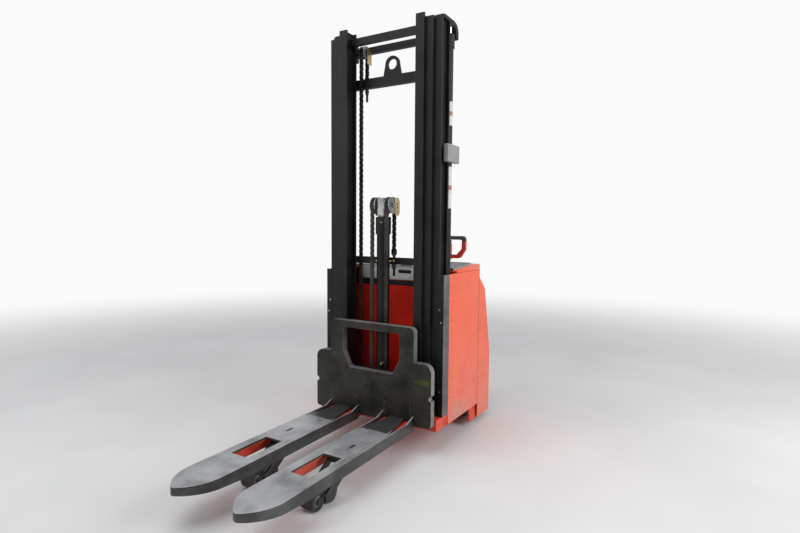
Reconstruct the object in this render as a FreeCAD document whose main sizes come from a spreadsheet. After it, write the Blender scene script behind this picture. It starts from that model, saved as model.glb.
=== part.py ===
import FreeCAD, Part
import math
import os
import Sketcher

# Electric walk-behind stacker with a three-stage mast, standing with its initial lift raised.
# Millimetres. X runs across to the right, Y from the fork tips to the rear, Z up from the floor.
# Lengths along Y are written from the front face of the fork plate, and moved to the part's own
# origin, which lies on the floor under the middle of its length.

doc = FreeCAD.newDocument("pedestrian_stacker")

# Driving sizes: alias, value, what it is
SIZES = (
    ("fork_length", 1150, "fork plate face to fork tip"),
    ("rear_reach", 950, "fork plate face to the rear of the tiller head"),
    ("body_width", 800, "over the side panels"),
    ("initial_lift", 100, "how far the front frame stands above its lowest place"),
    # forks
    ("fork_centre", 182, "middle of each fork from the middle of the truck"),
    ("fork_width", 202, "over one fork"),
    ("fork_top_low", 86, "fork top above the floor when lowered"),
    ("fork_plate", 10, "fork top plate"),
    ("fork_wall", 9, "fork side walls"),
    ("fork_depth", 58, "fork side height"),
    ("fork_tip_depth", 35, "fork side height at the tip"),
    ("fork_tip_radius", 195, "plan radius of the tip's flanks"),
    ("fork_nose_radius", 27, "plan radius of the nose"),
    ("fork_taper_start", 860, "where the fork's underside starts to rise"),
    ("window_near", 577, "fork window, end near the plate"),
    ("window_far", 799, "fork window, end near the tip"),
    ("window_width", 106, "fork window across"),
    ("gusset_length", 70, "fork side gusset at the plate"),
    ("gusset_height", 74, "fork side gusset above the fork top"),
    # legs
    ("leg_gap", 5, "leg top under the fork plate"),
    ("leg_width", 170, "over one support leg"),
    ("leg_wall", 8, "leg plate thickness"),
    ("leg_depth", 43, "leg side height"),
    ("leg_length", 1000, "plate face to leg end"),
    ("leg_window_width", 124, "opening over the wheels, across"),
    ("leg_window_far", 830, "opening over the wheels, far end"),
    ("leg_window_near", 500, "opening over the wheels, near end"),
    ("skirt_drop", 10, "leg skirt below the leg's side"),
    # load wheels
    ("load_radius", 42.5, "load wheel radius"),
    ("load_width", 70, "load wheel width"),
    ("load_spacing", 90, "between the two wheels of a bogie"),
    ("load_reach", 675, "plate face to the bogie's middle"),
    ("lever_length", 180, "lever pivot to bogie pivot"),
    ("lever_pivot_low", 45, "lever pivot above the floor when lowered"),
    ("lever_half", 18, "half height of a lever plate"),
    ("lever_plate", 8, "lever plate thickness"),
    ("bogie_half", 15, "half height of a bogie plate"),
    ("bogie_plate", 8, "bogie plate thickness"),
    ("wheel_side_gap", 2, "between wheel, bogie and lever plates"),
    ("load_axle", 10, "load wheel axle radius"),
    ("pivot_pin", 9, "lever and bogie pin radius"),
    ("hub_radius", 26, "load wheel hub radius"),
    ("running_fit", 0.05, "radial clearance of a turning shaft"),
    ("push_rod_radius", 9, "push rod radius"),
    # base
    ("base_low", 28, "underside of the base plate when lowered"),
    ("base_plate", 12, "base plate thickness"),
    ("base_front", 50, "front of the base plate"),
    ("base_rear", 284, "rear of the base plate"),
    ("base_box_height", 62, "side boxes at the base plate's ends"),
    ("base_box_inner", 325, "inner face of a side box in front of the mast"),
    ("box_inset", 5, "side boxes and valve box within the body's width"),
    ("post_gap", 2, "side box and post beside the outer profile"),
    # mast profiles
    ("profile_width", 51, "mast profile across"),
    ("profile_depth", 100, "mast profile front to back"),
    ("flange", 12, "profile flange thickness"),
    ("web", 12, "profile web thickness"),
    ("inner_side", 228, "inner stage, inward face"),
    ("inner_front", 80, "inner stage, front face"),
    ("stage_step_x", 45, "from one stage to the next, across"),
    ("stage_step_y", 18, "from one stage to the next, backwards"),
    ("inner_top_low", 2266, "inner stage top when lowered"),
    ("middle_drop", 18, "middle stage top below the inner one"),
    ("outer_drop", 26, "outer stage top below the inner one"),
    ("weld_lap", 3, "how far a tie laps onto a profile's flange"),
    ("seat_gap", 0.3, "between pieces that rest on each other"),
    ("roller_radius", 37.7, "mast and carriage guide rollers"),
    ("roller_width", 10, "mast guide rollers"),
    ("roller_pin", 12, "roller pin radius"),
    ("roller_gap", 2, "roller face from the profile edge beside it"),
    ("carriage_roller_width", 22, "carriage guide rollers"),
    # ties of the stages
    ("top_bar_high", 39, "inner stage top bar height"),
    ("top_bar_deep", 30, "inner stage top bar depth"),
    ("top_bar_drop", 77, "inner top to the top bar's underside"),
    ("top_bar_front", 135, "front face of the inner top bar"),
    ("cross_low", 918, "inner anchor bar's underside when lowered"),
    ("cross_high", 40, "inner anchor bar height"),
    ("cross_front", 168.5, "inner anchor bar front face"),
    ("cross_deep", 15, "inner anchor bar depth"),
    ("rear_bar_front", 258, "middle stage bar, front face"),
    ("rear_bar_deep", 26, "middle stage bar depth"),
    ("rear_bar_high", 39, "middle stage bar height"),
    ("rear_bar_drop", 94, "inner top to the middle bar's underside"),
    ("eye_bar_front", 204, "outer stage bar, front face"),
    ("eye_bar_deep", 30, "outer stage bar depth"),
    ("eye_bar_high", 56, "outer stage bar height"),
    ("eye_bar_drop", 312, "inner top to the outer bar's underside"),
    ("eye_base", 120, "lifting eye across its foot"),
    ("eye_hole", 30, "lifting eye hole radius"),
    ("eye_rise", 64, "lifting eye hole above its bar"),
    ("eye_rim", 17, "lifting eye rim"),
    ("eye_plate", 14, "lifting eye thickness"),
    # side cylinders
    ("ram_x", 345, "side cylinder axis from the middle"),
    ("ram_y", 247.5, "side cylinder axis behind the plate face"),
    ("ram_radius", 25, "side cylinder tube radius"),
    ("ram_gland_radius", 31, "side cylinder gland radius"),
    ("ram_gland_high", 70, "side cylinder gland height"),
    ("ram_top_drop", 81, "inner top to the gland's top"),
    ("ram_rod", 15, "side cylinder rod radius"),
    ("valve_front", 150, "valve box front"),
    ("valve_rear", 295, "valve box rear"),
    ("valve_low", 1490, "valve box underside when lowered"),
    ("valve_high", 95, "valve box height"),
    ("hook_plate", 18, "hook bracket thickness"),
    ("hook_rear", 330, "hook bracket, rearmost point"),
    # chains
    ("chain_x", 200, "mast chain from the middle"),
    ("chain_front_y", 190, "mast chain front strand"),
    ("chain_sheave", 30, "mast chain sheave pitch radius"),
    ("chain_width", 24, "chain across"),
    ("chain_thick", 10, "chain thickness"),
    ("free_x", 48, "free-lift chain from the middle"),
    ("free_y", 128, "free-lift sheave axis"),
    ("free_sheave", 42, "free-lift sheave pitch radius"),
    ("sheave_width", 34, "sheave width"),
    # free-lift cylinder
    ("free_tube", 37.5, "free-lift tube radius"),
    ("free_collar", 44, "free-lift collar radius"),
    ("free_collar_high", 97, "free-lift collar height"),
    ("free_collar_top_low", 1190, "free-lift collar top when lowered"),
    ("free_rod", 22, "free-lift rod radius"),
    ("free_head_high", 90, "crosshead height"),
    # carriage
    ("plate_thick", 38, "fork plate thickness"),
    ("plate_low", 55, "fork plate lower edge when lowered"),
    ("plate_shoulder", 350, "height of the wide part of the plate"),
    ("plate_high", 539, "plate height"),
    ("plate_half_low", 388, "half width of the wide part"),
    ("plate_half_high", 281, "half width of the top part"),
    ("plate_corner", 50, "shoulder radius"),
    ("plate_toe", 20, "lower corner radius"),
    ("plate_top_corner", 30, "upper corner radius"),
    ("plate_notch", 15, "radius of the round notches in the side edges"),
    ("plate_notch_up", 165, "notch above the plate's lower edge"),
    ("view_half_high", 192, "window half width above"),
    ("view_half_low", 147, "window half width below"),
    ("view_top", 499, "window top above the lower edge"),
    ("view_bend", 357, "window side's bend above the lower edge"),
    ("view_bottom", 267, "window bottom above the lower edge"),
    ("view_corner", 18, "window corner radius"),
    ("slot_half", 3, "half width of the relief slots"),
    ("slot_hole", 8, "radius of the slots' end holes"),
    ("slot_up", 116, "slot end hole above the plate's lower edge"),
    ("side_plate", 22, "carriage side plate thickness"),
    ("side_plate_rear", 152, "carriage side plate, rear edge"),
    ("side_plate_up", 25, "carriage side plate's foot above the plate's lower edge"),
    ("side_plate_high", 500, "carriage side plate height"),
    ("tie_high", 50, "carriage lower tie height"),
    ("upper_tie_high", 32, "carriage upper tie height"),
    ("tie_inset", 3, "carriage ties behind the window's edges"),
    ("roller_low_up", 105, "lower carriage roller above the plate's lower edge"),
    ("roller_high_up", 445, "upper carriage roller above the plate's lower edge"),
    # compartment
    ("panel_front", 184, "side panel front edge"),
    ("panel_rear", 615, "side panel rear edge"),
    ("panel_thick", 10, "side panel thickness"),
    ("panel_top_low", 876, "side panel top when lowered"),
    ("wall_front", 285, "compartment front wall"),
    ("wall_thick", 6, "compartment wall thickness"),
    ("floor_low", 60, "compartment floor underside when lowered"),
    ("step_y", 512, "step wall in front of the drive unit"),
    ("step_low", 300, "upper floor underside when lowered"),
    ("hood_high", 34, "hood lid height"),
    ("hood_front_high", 96, "hood front face height"),
    ("hood_hinge", 6, "hood rear corner radius, round its hinge axis"),
    ("hood_seam", 0.8, "hood above the side panels"),
    ("hood_plate", 8, "hood plate thickness"),
    ("battery_length", 660, "battery across"),
    ("battery_high", 627, "battery height"),
    ("battery_gap", 8, "round the battery"),
    ("post_front", 112, "side post front edge"),
    ("post_low", 50, "side post foot when lowered"),
    ("post_top_low", 876, "side post top when lowered"),
    # drive unit
    ("drive_y", 670, "drive wheel axis"),
    ("drive_radius", 115, "drive wheel radius"),
    ("drive_width", 90, "drive wheel width"),
    ("drive_front", 526, "front of the drive chassis"),
    ("drive_half", 382, "half width of the drive chassis"),
    ("drive_skirt_low", 30, "drive chassis skirt above the floor"),
    ("drive_deck", 190, "drive chassis deck top"),
    ("drive_plate", 8, "drive chassis plate"),
    ("pad_inset", 18, "slide pad from the chassis' and the cover's front"),
    ("pad_drop", 8, "slide pad below the deck"),
    ("pad_high", 36, "slide pad height"),
    ("turret_half", 150, "half width of the turret"),
    ("turret_top", 270, "turret top"),
    ("turret_bearing", 60, "turret bearing radius"),
    ("motor_radius", 85, "drive motor radius"),
    ("motor_high", 260, "drive motor height"),
    ("motor_gap", 6, "drive motor to the compartment's rear wall"),
    ("castor_x", 270, "castor swivel axis from the middle"),
    ("castor_y", 665, "castor swivel axis"),
    ("castor_radius", 62.5, "castor wheel radius"),
    ("castor_width", 40, "castor wheel width"),
    ("castor_trail", 35, "castor trail"),
    ("castor_plate", 6, "castor fork plate"),
    ("castor_crown", 140, "castor fork crown top"),
    ("castor_stem", 14, "castor stem radius"),
    # rear cover
    ("cover_front", 620, "rear cover front edge"),
    ("cover_rear", 812, "rear cover rear face"),
    ("cover_half", 398, "half width of the rear cover"),
    ("cover_low", 36, "rear cover lower edge"),
    ("cover_bend", 430, "rear cover, end of the upright part"),
    ("cover_shoulder_y", 711, "rear cover shoulder place"),
    ("cover_shoulder", 852, "rear cover shoulder height"),
    ("cover_top", 927, "rear cover top"),
    ("cover_wall", 5, "rear cover wall"),
    # tiller
    ("tiller_y", 872, "tiller yaw axis"),
    ("tiller_z", 400, "tiller tilt axis"),
    ("tiller_base_low", 300, "tiller bearing bracket underside"),
    ("tiller_bracket_high", 30, "tiller bearing bracket height"),
    ("tiller_bracket_half", 45, "half width of the bearing bracket"),
    ("tiller_turn_radius", 40, "tiller turning plate radius"),
    ("tiller_arm_half", 24, "half width of the tiller arm"),
    ("tiller_arm_deep", 44, "tiller arm front to back"),
    ("tiller_ear", 8, "tiller yoke ear"),
    ("tiller_pin", 10, "tiller pin radius"),
    ("head_low", 1010, "tiller head underside"),
    ("head_high", 165, "tiller head height"),
    ("head_half", 172, "half width of the tiller head"),
    ("head_deep", 76, "tiller head front to back"),
    ("head_hub_half", 50, "half width of the head's middle block"),
    ("guard_bar", 22, "guard bar width"),
)


class Size:
    """A length that carries both its value and the expression it is bound by."""

    def __init__(self, value, text):
        self.value = value
        self.text = text

    def join(self, other, sign, value):
        return Size(value, "(" + self.text + " " + sign + " " + size(other).text + ")")

    def __add__(self, other):
        return self.join(other, "+", self.value + size(other).value)

    def __radd__(self, other):
        return size(other) + self

    def __sub__(self, other):
        return self.join(other, "-", self.value - size(other).value)

    def __rsub__(self, other):
        return size(other) - self

    def __mul__(self, other):
        return self.join(other, "*", self.value * size(other).value)

    def __rmul__(self, other):
        return size(other) * self

    def __truediv__(self, other):
        return self.join(other, "/", self.value / size(other).value)

    def __neg__(self):
        return Size(-self.value, "(0 - " + self.text + ")")


def size(number):
    """Any plain number as a Size."""
    if isinstance(number, Size):
        return number
    return Size(float(number), repr(float(number)))


def root(number):
    """Square root of a Size."""
    return Size(math.sqrt(number.value), "sqrt(" + number.text + ")")


class Sheet:
    """The spreadsheet's cells as Sizes, by alias."""

    def __init__(self, rows):
        cells = doc.addObject("Spreadsheet::Sheet", "Sizes")
        for row, (alias, value, note) in enumerate(rows, 1):
            cells.set("A%d" % row, alias)
            cells.set("B%d" % row, str(value))
            cells.set("C%d" % row, note)
            cells.setAlias("B%d" % row, alias)
            setattr(self, alias, Size(float(value), "Sizes." + alias))
        doc.recompute()


d = Sheet(SIZES)
V = FreeCAD.Vector

# Distance from the part's origin to the plate face, so that the origin is under the middle
FACE = (d.fork_length - d.rear_reach) / 2


def bind(thing, prop, number):
    """Tie a property to its size."""
    thing.setExpression(prop, size(number).text)


def block(name, x, y, z):
    """Box from its low and high X, Y and Z."""
    solid = doc.addObject("Part::Box", name)
    y = (y[0] + FACE, y[1] + FACE)
    for prop, place, (low, high) in zip(("Length", "Width", "Height"), "xyz", (x, y, z)):
        bind(solid, prop, size(high) - low)
        bind(solid, "Placement.Base." + place, low)
    return solid


TURNS = {
    "x": FreeCAD.Rotation(V(0, 1, 0), 90),
    "y": FreeCAD.Rotation(V(1, 0, 0), -90),
    "z": FreeCAD.Rotation(V(0, 0, 1), 0),
}


def rod(name, axis, centre, span, radius):
    """Cylinder along an axis. centre holds the two other coordinates in X, Y, Z order."""
    solid = doc.addObject("Part::Cylinder", name)
    solid.Placement = FreeCAD.Placement(V(0, 0, 0), TURNS[axis])
    bind(solid, "Radius", radius)
    bind(solid, "Height", size(span[1]) - span[0])
    place = list(centre)
    place.insert("xyz".index(axis), span[0])
    place[1] = place[1] + FACE
    for letter, number in zip("xyz", place):
        bind(solid, "Placement.Base." + letter, number)
    return solid


def fillet_path(corners, radii):
    """Outline with each corner rounded. A radius of 0 keeps a corner sharp."""
    path = []
    count = len(corners)
    for index, (corner, radius) in enumerate(zip(corners, radii)):
        if not isinstance(radius, Size) and radius == 0:
            path.append((corner[0], corner[1], None))
            continue
        before, after = corners[index - 1], corners[(index + 1) % count]
        x, y = size(corner[0]).value, size(corner[1]).value
        ax, ay = size(before[0]).value - x, size(before[1]).value - y
        bx, by = size(after[0]).value - x, size(after[1]).value - y
        a, b = math.hypot(ax, ay), math.hypot(bx, by)
        ax, ay, bx, by = ax / a, ay / a, bx / b, by / b
        half = math.acos(max(-1, min(1, ax * bx + ay * by))) / 2
        back = 1 / math.tan(half)
        left = bx * ay - by * ax
        turn = radius if left > 0 else -size(radius)
        path.append((corner[0] + radius * (ax * back), corner[1] + radius * (ay * back), turn))
        path.append((corner[0] + radius * (bx * back), corner[1] + radius * (by * back), None))
    return path


def draw(sketch, path, tag):
    """Closed outline. Each point is (across, up, radius of the arc to the next point or None).
    A positive radius turns left. Every point and radius is tied to its size."""
    first = sketch.GeometryCount
    count = len(path)
    ends = []
    for index, (x, y, radius) in enumerate(path):
        nx, ny, _ = path[(index + 1) % count]
        x0, y0, x1, y1 = (size(number).value for number in (x, y, nx, ny))
        start, end = V(x0, y0, 0), V(x1, y1, 0)
        if radius is None:
            sketch.addGeometry(Part.LineSegment(start, end))
            ends.append((1, 2))
            continue
        bend = size(radius).value
        chord = end - start
        rise = math.sqrt(max(bend * bend - chord.Length ** 2 / 4, 0))
        side = V(-chord.y, chord.x, 0) / chord.Length
        centre = (start + end) / 2 + side * math.copysign(rise, bend)
        first_angle = math.atan2(y0 - centre.y, x0 - centre.x)
        last_angle = math.atan2(y1 - centre.y, x1 - centre.x)
        if bend < 0:
            first_angle, last_angle = last_angle, first_angle
        circle = Part.Circle(centre, V(0, 0, 1), abs(bend))
        sketch.addGeometry(Part.ArcOfCircle(circle, first_angle, last_angle))
        ends.append((1, 2) if bend > 0 else (2, 1))
    for index, (x, y, radius) in enumerate(path):
        here = first + index
        following = first + (index + 1) % count
        sketch.addConstraint(
            Sketcher.Constraint("Coincident", here, ends[index][1], following, ends[(index + 1) % count][0])
        )
    for index, (x, y, radius) in enumerate(path):
        here = first + index
        point = ends[index][0]
        rows = [("DistanceX", x, "across"), ("DistanceY", y, "up")]
        for kind, number, word in rows:
            label = "%s_%s%d" % (tag, word, index)
            mark = sketch.addConstraint(
                Sketcher.Constraint(kind, -1, 1, here, point, size(number).value)
            )
            sketch.renameConstraint(mark, label)
            bind(sketch, "Constraints." + label, number)
        if radius is not None:
            bend = size(radius)
            label = "%s_radius%d" % (tag, index)
            mark = sketch.addConstraint(Sketcher.Constraint("Radius", here, abs(bend.value)))
            sketch.renameConstraint(mark, label)
            bind(sketch, "Constraints." + label, bend if bend.value > 0 else -bend)


def straight(points):
    """Outline with straight sides only."""
    return [(x, y, None) for x, y in points]


# Sketch plane: role, sign of its normal along the span, which coordinate of the path is Y
PLANES = {
    "z": ("XY_Plane", 1, 1),
    "y": ("XZ_Plane", -1, None),
    "x": ("YZ_Plane", 1, 0),
}


def prism(name, axis, span, path, holes=()):
    """Outline pulled along an axis from span's low to its high, with holes through it.
    Across Z the outline is (X, Y), across Y it is (X, Z), across X it is (Y, Z)."""
    role, sign, shifted = PLANES[axis]
    body = doc.addObject("PartDesign::Body", name)
    sketch = body.newObject("Sketcher::SketchObject", name + "_outline")
    plane = [feature for feature in body.Origin.OriginFeatures if feature.Role == role][0]
    sketch.AttachmentSupport = (plane, [""])
    sketch.MapMode = "FlatFace"
    low, high = size(span[0]), size(span[1])
    if axis == "y":
        low, high = low + FACE, high + FACE
    bind(sketch, "AttachmentOffset.Base.z", low if sign > 0 else -high)
    for number, outline in enumerate((path,) + tuple(holes)):
        moved = []
        for x, y, radius in outline:
            if shifted == 0:
                x = x + FACE
            if shifted == 1:
                y = y + FACE
            moved.append((x, y, radius))
        draw(sketch, moved, "p%d" % number)
    pad = body.newObject("PartDesign::Pad", name + "_pad")
    pad.Profile = sketch
    bind(pad, "Length", high - low)
    return body


def rectangle(x, y):
    """Rectangular outline."""
    return straight(((x[0], y[0]), (x[1], y[0]), (x[1], y[1]), (x[0], y[1])))


def circle(x, y, radius):
    """Round outline in four arcs."""
    return [(x + radius, y, radius), (x, y + radius, radius), (x - radius, y, radius), (x, y - radius, radius)]


def link(a, b, length, half):
    """Round-ended plate outline between two pins."""
    ux, uy = (b[0] - a[0]) / length, (b[1] - a[1]) / length
    sx, sy = half * ux, half * uy
    return [
        (a[0] + sy, a[1] - sx, None),
        (b[0] + sy, b[1] - sx, half),
        (b[0] + sx, b[1] + sy, half),
        (b[0] - sy, b[1] + sx, None),
        (a[0] - sy, a[1] + sx, half),
        (a[0] - sx, a[1] - sy, half),
    ]


def fuse(name, *pieces):
    """Pieces welded into one."""
    union = doc.addObject("Part::MultiFuse", name)
    union.Shapes = list(pieces)
    union.Refine = True
    return union


def cut(name, base, *tools):
    """Base with the tools taken out."""
    tool = tools[0] if len(tools) == 1 else fuse(name + "_tools", *tools)
    result = doc.addObject("Part::Cut", name)
    result.Base = base
    result.Tool = tool
    result.Refine = True
    return result


def mirrored(name, source):
    """The same piece on the other side."""
    result = doc.addObject("Part::Mirroring", name)
    result.Source = source
    result.Base = V(0, 0, 0)
    result.Normal = V(1, 0, 0)
    return result


def together(name, *pieces):
    """Separate solids that share one sub-part."""
    group = doc.addObject("Part::Compound", name)
    group.Links = list(pieces)
    return group


def both_sides(name, right):
    """A right-hand piece and its mirror image as one sub-part."""
    return together(name, right, mirrored(name + "_left_side", right))


NODES = []


def sub_part(label, thing):
    """Name a finished sub-part."""
    thing.Label = label
    NODES.append(thing)
    return thing


lift = d.initial_lift
width = d.body_width / 2

# Forks
fork_top = d.fork_top_low + lift
fork_under = fork_top - d.fork_plate
fork_bottom = fork_top - d.fork_depth
fork_half = d.fork_width / 2
tip_offset = d.fork_tip_radius - fork_half
plate_bottom = d.plate_low + lift


def fork_plan(name, inset, bottom, top, rear):
    """Solid with the fork's plan outline, made smaller all round by inset."""
    half = fork_half - inset
    radius = d.fork_tip_radius - inset
    nose = d.fork_nose_radius - inset
    # the nose arc touches both flanks
    reach = d.fork_tip_radius - d.fork_nose_radius
    nose_up = root(reach * reach - tip_offset * tip_offset)
    shoulder = nose_up + d.fork_nose_radius - d.fork_length
    touch_x = tip_offset * (radius / reach) - tip_offset
    touch_y = nose_up * (radius / reach)
    x = d.fork_centre
    path = [
        (x - half, rear, None),
        (x - half, shoulder, radius),
        (x - touch_x, shoulder - touch_y, nose),
        (x + touch_x, shoulder - touch_y, radius),
        (x + half, shoulder, None),
        (x + half, rear, None),
    ]
    return prism(name, "z", (bottom, top), path)


fork_outer = fork_plan("fork_outer", 0, fork_bottom, fork_top, size(0))
fork_inner = fork_plan("fork_inner", d.fork_wall, fork_bottom - 10, fork_under, size(10))
fork_window = block(
    "fork_window",
    (d.fork_centre - d.window_width / 2, d.fork_centre + d.window_width / 2),
    (-d.window_far, -d.window_near),
    (fork_under - 10, fork_top + 10),
)
fork_relief = prism(
    "fork_relief",
    "x",
    (d.fork_centre - d.fork_width, d.fork_centre + d.fork_width),
    straight(
        (
            (-d.fork_taper_start, fork_bottom),
            (-d.fork_length - 20, fork_bottom - 20),
            (-d.fork_length - 20, fork_top - d.fork_tip_depth),
            (-d.fork_length, fork_top - d.fork_tip_depth),
        )
    ),
)
fork_shell = cut("fork_shell", fork_outer, fork_inner, fork_window, fork_relief)
fork_gussets = []
for side, edge in (("near", d.fork_centre - fork_half), ("far", d.fork_centre + fork_half - d.fork_wall)):
    fork_gussets.append(
        prism(
            "fork_gusset_" + side,
            "x",
            (edge, edge + d.fork_wall),
            straight(((0, fork_top - 1), (0, fork_top + d.gusset_height), (-d.gusset_length, fork_top - 1))),
        )
    )
fork_right = fuse("fork_right", fork_shell, *fork_gussets)
sub_part("forks", both_sides("forks_pair", fork_right))

# Fork plate of the carriage
plate_up = plate_bottom + d.plate_high
shoulder_z = plate_bottom + d.plate_shoulder
notch_z = plate_bottom + d.plate_notch_up
channel_near = d.fork_centre - fork_half + d.fork_wall
channel_far = d.fork_centre + fork_half - d.fork_wall
right_corners = [
    (channel_near, plate_bottom, 0),
    (channel_near, fork_under, 0),
    (channel_far, fork_under, 0),
    (channel_far, plate_bottom, 0),
    (d.plate_half_low, plate_bottom, d.plate_toe),
]
upper_corners = [
    (d.plate_half_low, shoulder_z, d.plate_corner),
    (d.plate_half_high, shoulder_z, 0),
    (d.plate_half_high, plate_up, d.plate_top_corner),
]


def half_outline():
    """Right half of the plate's outline, from the middle of its foot to the middle of its top."""
    corners = right_corners + upper_corners
    flat = [(x, z) for x, z, _ in corners]
    flat = [(size(0), plate_bottom)] + flat + [(size(0), plate_up)]
    radii = [0] + [radius for _, _, radius in corners] + [0]
    path = fillet_path(flat, radii)
    outline = []
    for point in path[1:-1]:
        outline.append(point)
    return outline


plate_right = half_outline()
split = 6
notch = [
    (d.plate_half_low, notch_z - d.plate_notch, -d.plate_notch),
    (d.plate_half_low - d.plate_notch, notch_z, -d.plate_notch),
    (d.plate_half_low, notch_z + d.plate_notch, None),
]
plate_right = plate_right[:split] + notch + plate_right[split:]
plate_left = []
for index in range(len(plate_right) - 1, -1, -1):
    x, z, _ = plate_right[index]
    radius = plate_right[index - 1][2] if index > 0 else None
    plate_left.append((-x, z, radius))
view = fillet_path(
    [
        (-d.view_half_low, plate_bottom + d.view_bottom),
        (d.view_half_low, plate_bottom + d.view_bottom),
        (d.view_half_high, plate_bottom + d.view_bend),
        (d.view_half_high, plate_bottom + d.view_top),
        (-d.view_half_high, plate_bottom + d.view_top),
        (-d.view_half_high, plate_bottom + d.view_bend),
    ],
    [d.view_corner, d.view_corner, 0, d.view_corner, d.view_corner, 0],
)


def keyhole(x):
    """Relief slot from the fork top up to its round end."""
    z = plate_bottom + d.slot_up
    foot = fork_top + 2
    neck = root(d.slot_hole * d.slot_hole - d.slot_half * d.slot_half)
    return [
        (x - d.slot_half, foot, None),
        (x + d.slot_half, foot, None),
        (x + d.slot_half, z - neck, d.slot_hole),
        (x + d.slot_hole, z, d.slot_hole),
        (x, z + d.slot_hole, d.slot_hole),
        (x - d.slot_hole, z, d.slot_hole),
        (x - d.slot_half, z - neck, None),
    ]


slot_near = channel_near + d.slot_hole
slot_far = channel_far - d.slot_hole
carriage_plate = prism(
    "carriage_plate_body",
    "y",
    (size(0), d.plate_thick),
    plate_right + plate_left,
    (view, keyhole(slot_near), keyhole(slot_far), keyhole(-slot_near), keyhole(-slot_far)),
)
sub_part("carriage_plate", carriage_plate)

# Carriage frame behind the plate
inner_web_face = d.inner_side + (d.profile_width - d.web) / 2
carriage_face = d.inner_side - 6
side_foot = plate_bottom + d.side_plate_up
side_plate = block(
    "carriage_side",
    (carriage_face - d.side_plate, carriage_face),
    (d.plate_thick, d.side_plate_rear),
    (side_foot, side_foot + d.side_plate_high),
)
tie_rear = d.free_y - d.free_sheave - d.chain_thick / 2 - 2
carriage_ties = []
for word, low, high in (
    ("lower", d.view_bottom - d.tie_high - d.tie_inset, d.view_bottom - d.tie_inset),
    ("upper", d.view_top + d.tie_inset, d.view_top + d.tie_inset + d.upper_tie_high),
):
    carriage_ties.append(
        block(
            "carriage_tie_" + word,
            (d.side_plate - carriage_face, carriage_face - d.side_plate),
            (d.plate_thick, tie_rear),
            (plate_bottom + low, plate_bottom + high),
        )
    )
chain_foot = plate_bottom + d.view_bottom - d.tie_inset
lugs = []
for word, x in (("right", d.free_x), ("left", -d.free_x)):
    lugs.append(
        block(
            "carriage_lug_" + word,
            (x - d.chain_width / 2, x + d.chain_width / 2),
            (d.plate_thick, tie_rear + d.chain_thick),
            (chain_foot - d.tie_high + 10, chain_foot),
        )
    )
carriage_frame = fuse(
    "carriage_frame_body", side_plate, mirrored("carriage_side_left", side_plate), *carriage_ties, *lugs
)
sub_part("carriage_frame", carriage_frame)
channel_y = d.inner_front + d.profile_depth / 2
rollers = []
for word, up in (("low", d.roller_low_up), ("high", d.roller_high_up)):
    rollers.append(
        rod(
            "carriage_roller_" + word,
            "x",
            (channel_y, plate_bottom + up),
            (carriage_face, carriage_face + d.carriage_roller_width),
            d.roller_radius,
        )
    )
sub_part(
    "carriage_rollers",
    together("carriage_roller_set", *rollers, *[mirrored(r.Name + "_left", r) for r in rollers]),
)

# Support legs and base plate
base_under = d.base_low + lift
base_top = base_under + d.base_plate
leg_top = fork_under - d.leg_gap
leg_under = leg_top - d.leg_wall
leg_bottom = leg_top - d.leg_depth
leg_near = d.fork_centre - d.leg_width / 2
leg_far = d.fork_centre + d.leg_width / 2
leg_hole = rectangle(
    (d.fork_centre - d.leg_window_width / 2, d.fork_centre + d.leg_window_width / 2),
    (-d.leg_window_far, -d.leg_window_near),
)
leg_deck = prism(
    "leg_deck",
    "z",
    (leg_under, leg_top),
    rectangle((leg_near, leg_far), (-d.leg_length, d.base_front)),
    (leg_hole,),
)
pivot_z = d.lever_pivot_low + lift
drop = pivot_z - d.load_radius
pivot_run = root(d.lever_length * d.lever_length - drop * drop)
bogie_y = -d.load_reach
pivot_y = bogie_y + pivot_run
skirt_far = -d.leg_window_far
leg_side_path = straight(
    (
        (d.base_front, leg_bottom),
        (d.base_front, leg_top),
        (-d.leg_length, leg_top),
        (-d.leg_length, leg_bottom + 20),
        (skirt_far - 60, leg_bottom),
        (skirt_far, leg_bottom - d.skirt_drop),
        (-d.load_reach + 140, leg_bottom - d.skirt_drop),
        (-d.load_reach + 180, leg_bottom),
    )
)
lever_face = d.load_width / 2 + d.wheel_side_gap + d.bogie_plate + d.wheel_side_gap
lever_outer = lever_face + d.lever_plate
leg_parts = [leg_deck]
for word, low in (("near", leg_near), ("far", leg_far - d.leg_wall)):
    wall = prism(
        "leg_wall_" + word,
        "x",
        (low, low + d.leg_wall),
        leg_side_path,
        (circle(pivot_y, pivot_z, d.pivot_pin),),
    )
    leg_parts.append(wall)
leg_parts.append(
    block("leg_end", (leg_near, leg_far), (-d.leg_length, -d.leg_length + d.leg_wall), (leg_bottom + 20, leg_top))
)
leg_pin = rod("leg_pin", "x", (pivot_y, pivot_z), (leg_near, leg_far), d.pivot_pin)
leg_parts.append(leg_pin)
leg = fuse("leg_right", *leg_parts)
panel_in = width - d.panel_thick
plate_front = block(
    "base_plate_front",
    (-width + d.box_inset, width - d.box_inset),
    (d.base_front, d.panel_front - d.seat_gap),
    (base_under, base_top),
)
plate_rear = block(
    "base_plate_rear",
    (-panel_in + d.seat_gap, panel_in - d.seat_gap),
    (d.panel_front - 2, d.base_rear),
    (base_under, base_top),
)
outer_x = d.inner_side + d.stage_step_x * 2
outer_y = d.inner_front + d.stage_step_y * 2
box_front = block(
    "base_box_front",
    (d.base_box_inner, width - d.box_inset),
    (d.base_front, outer_y - 2),
    (base_under, base_under + d.base_box_height),
)
box_side = block(
    "base_box_side",
    (outer_x + d.profile_width + d.post_gap, width - d.box_inset),
    (outer_y - 3, d.panel_front - d.seat_gap),
    (base_under, base_under + d.base_box_height),
)
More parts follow.
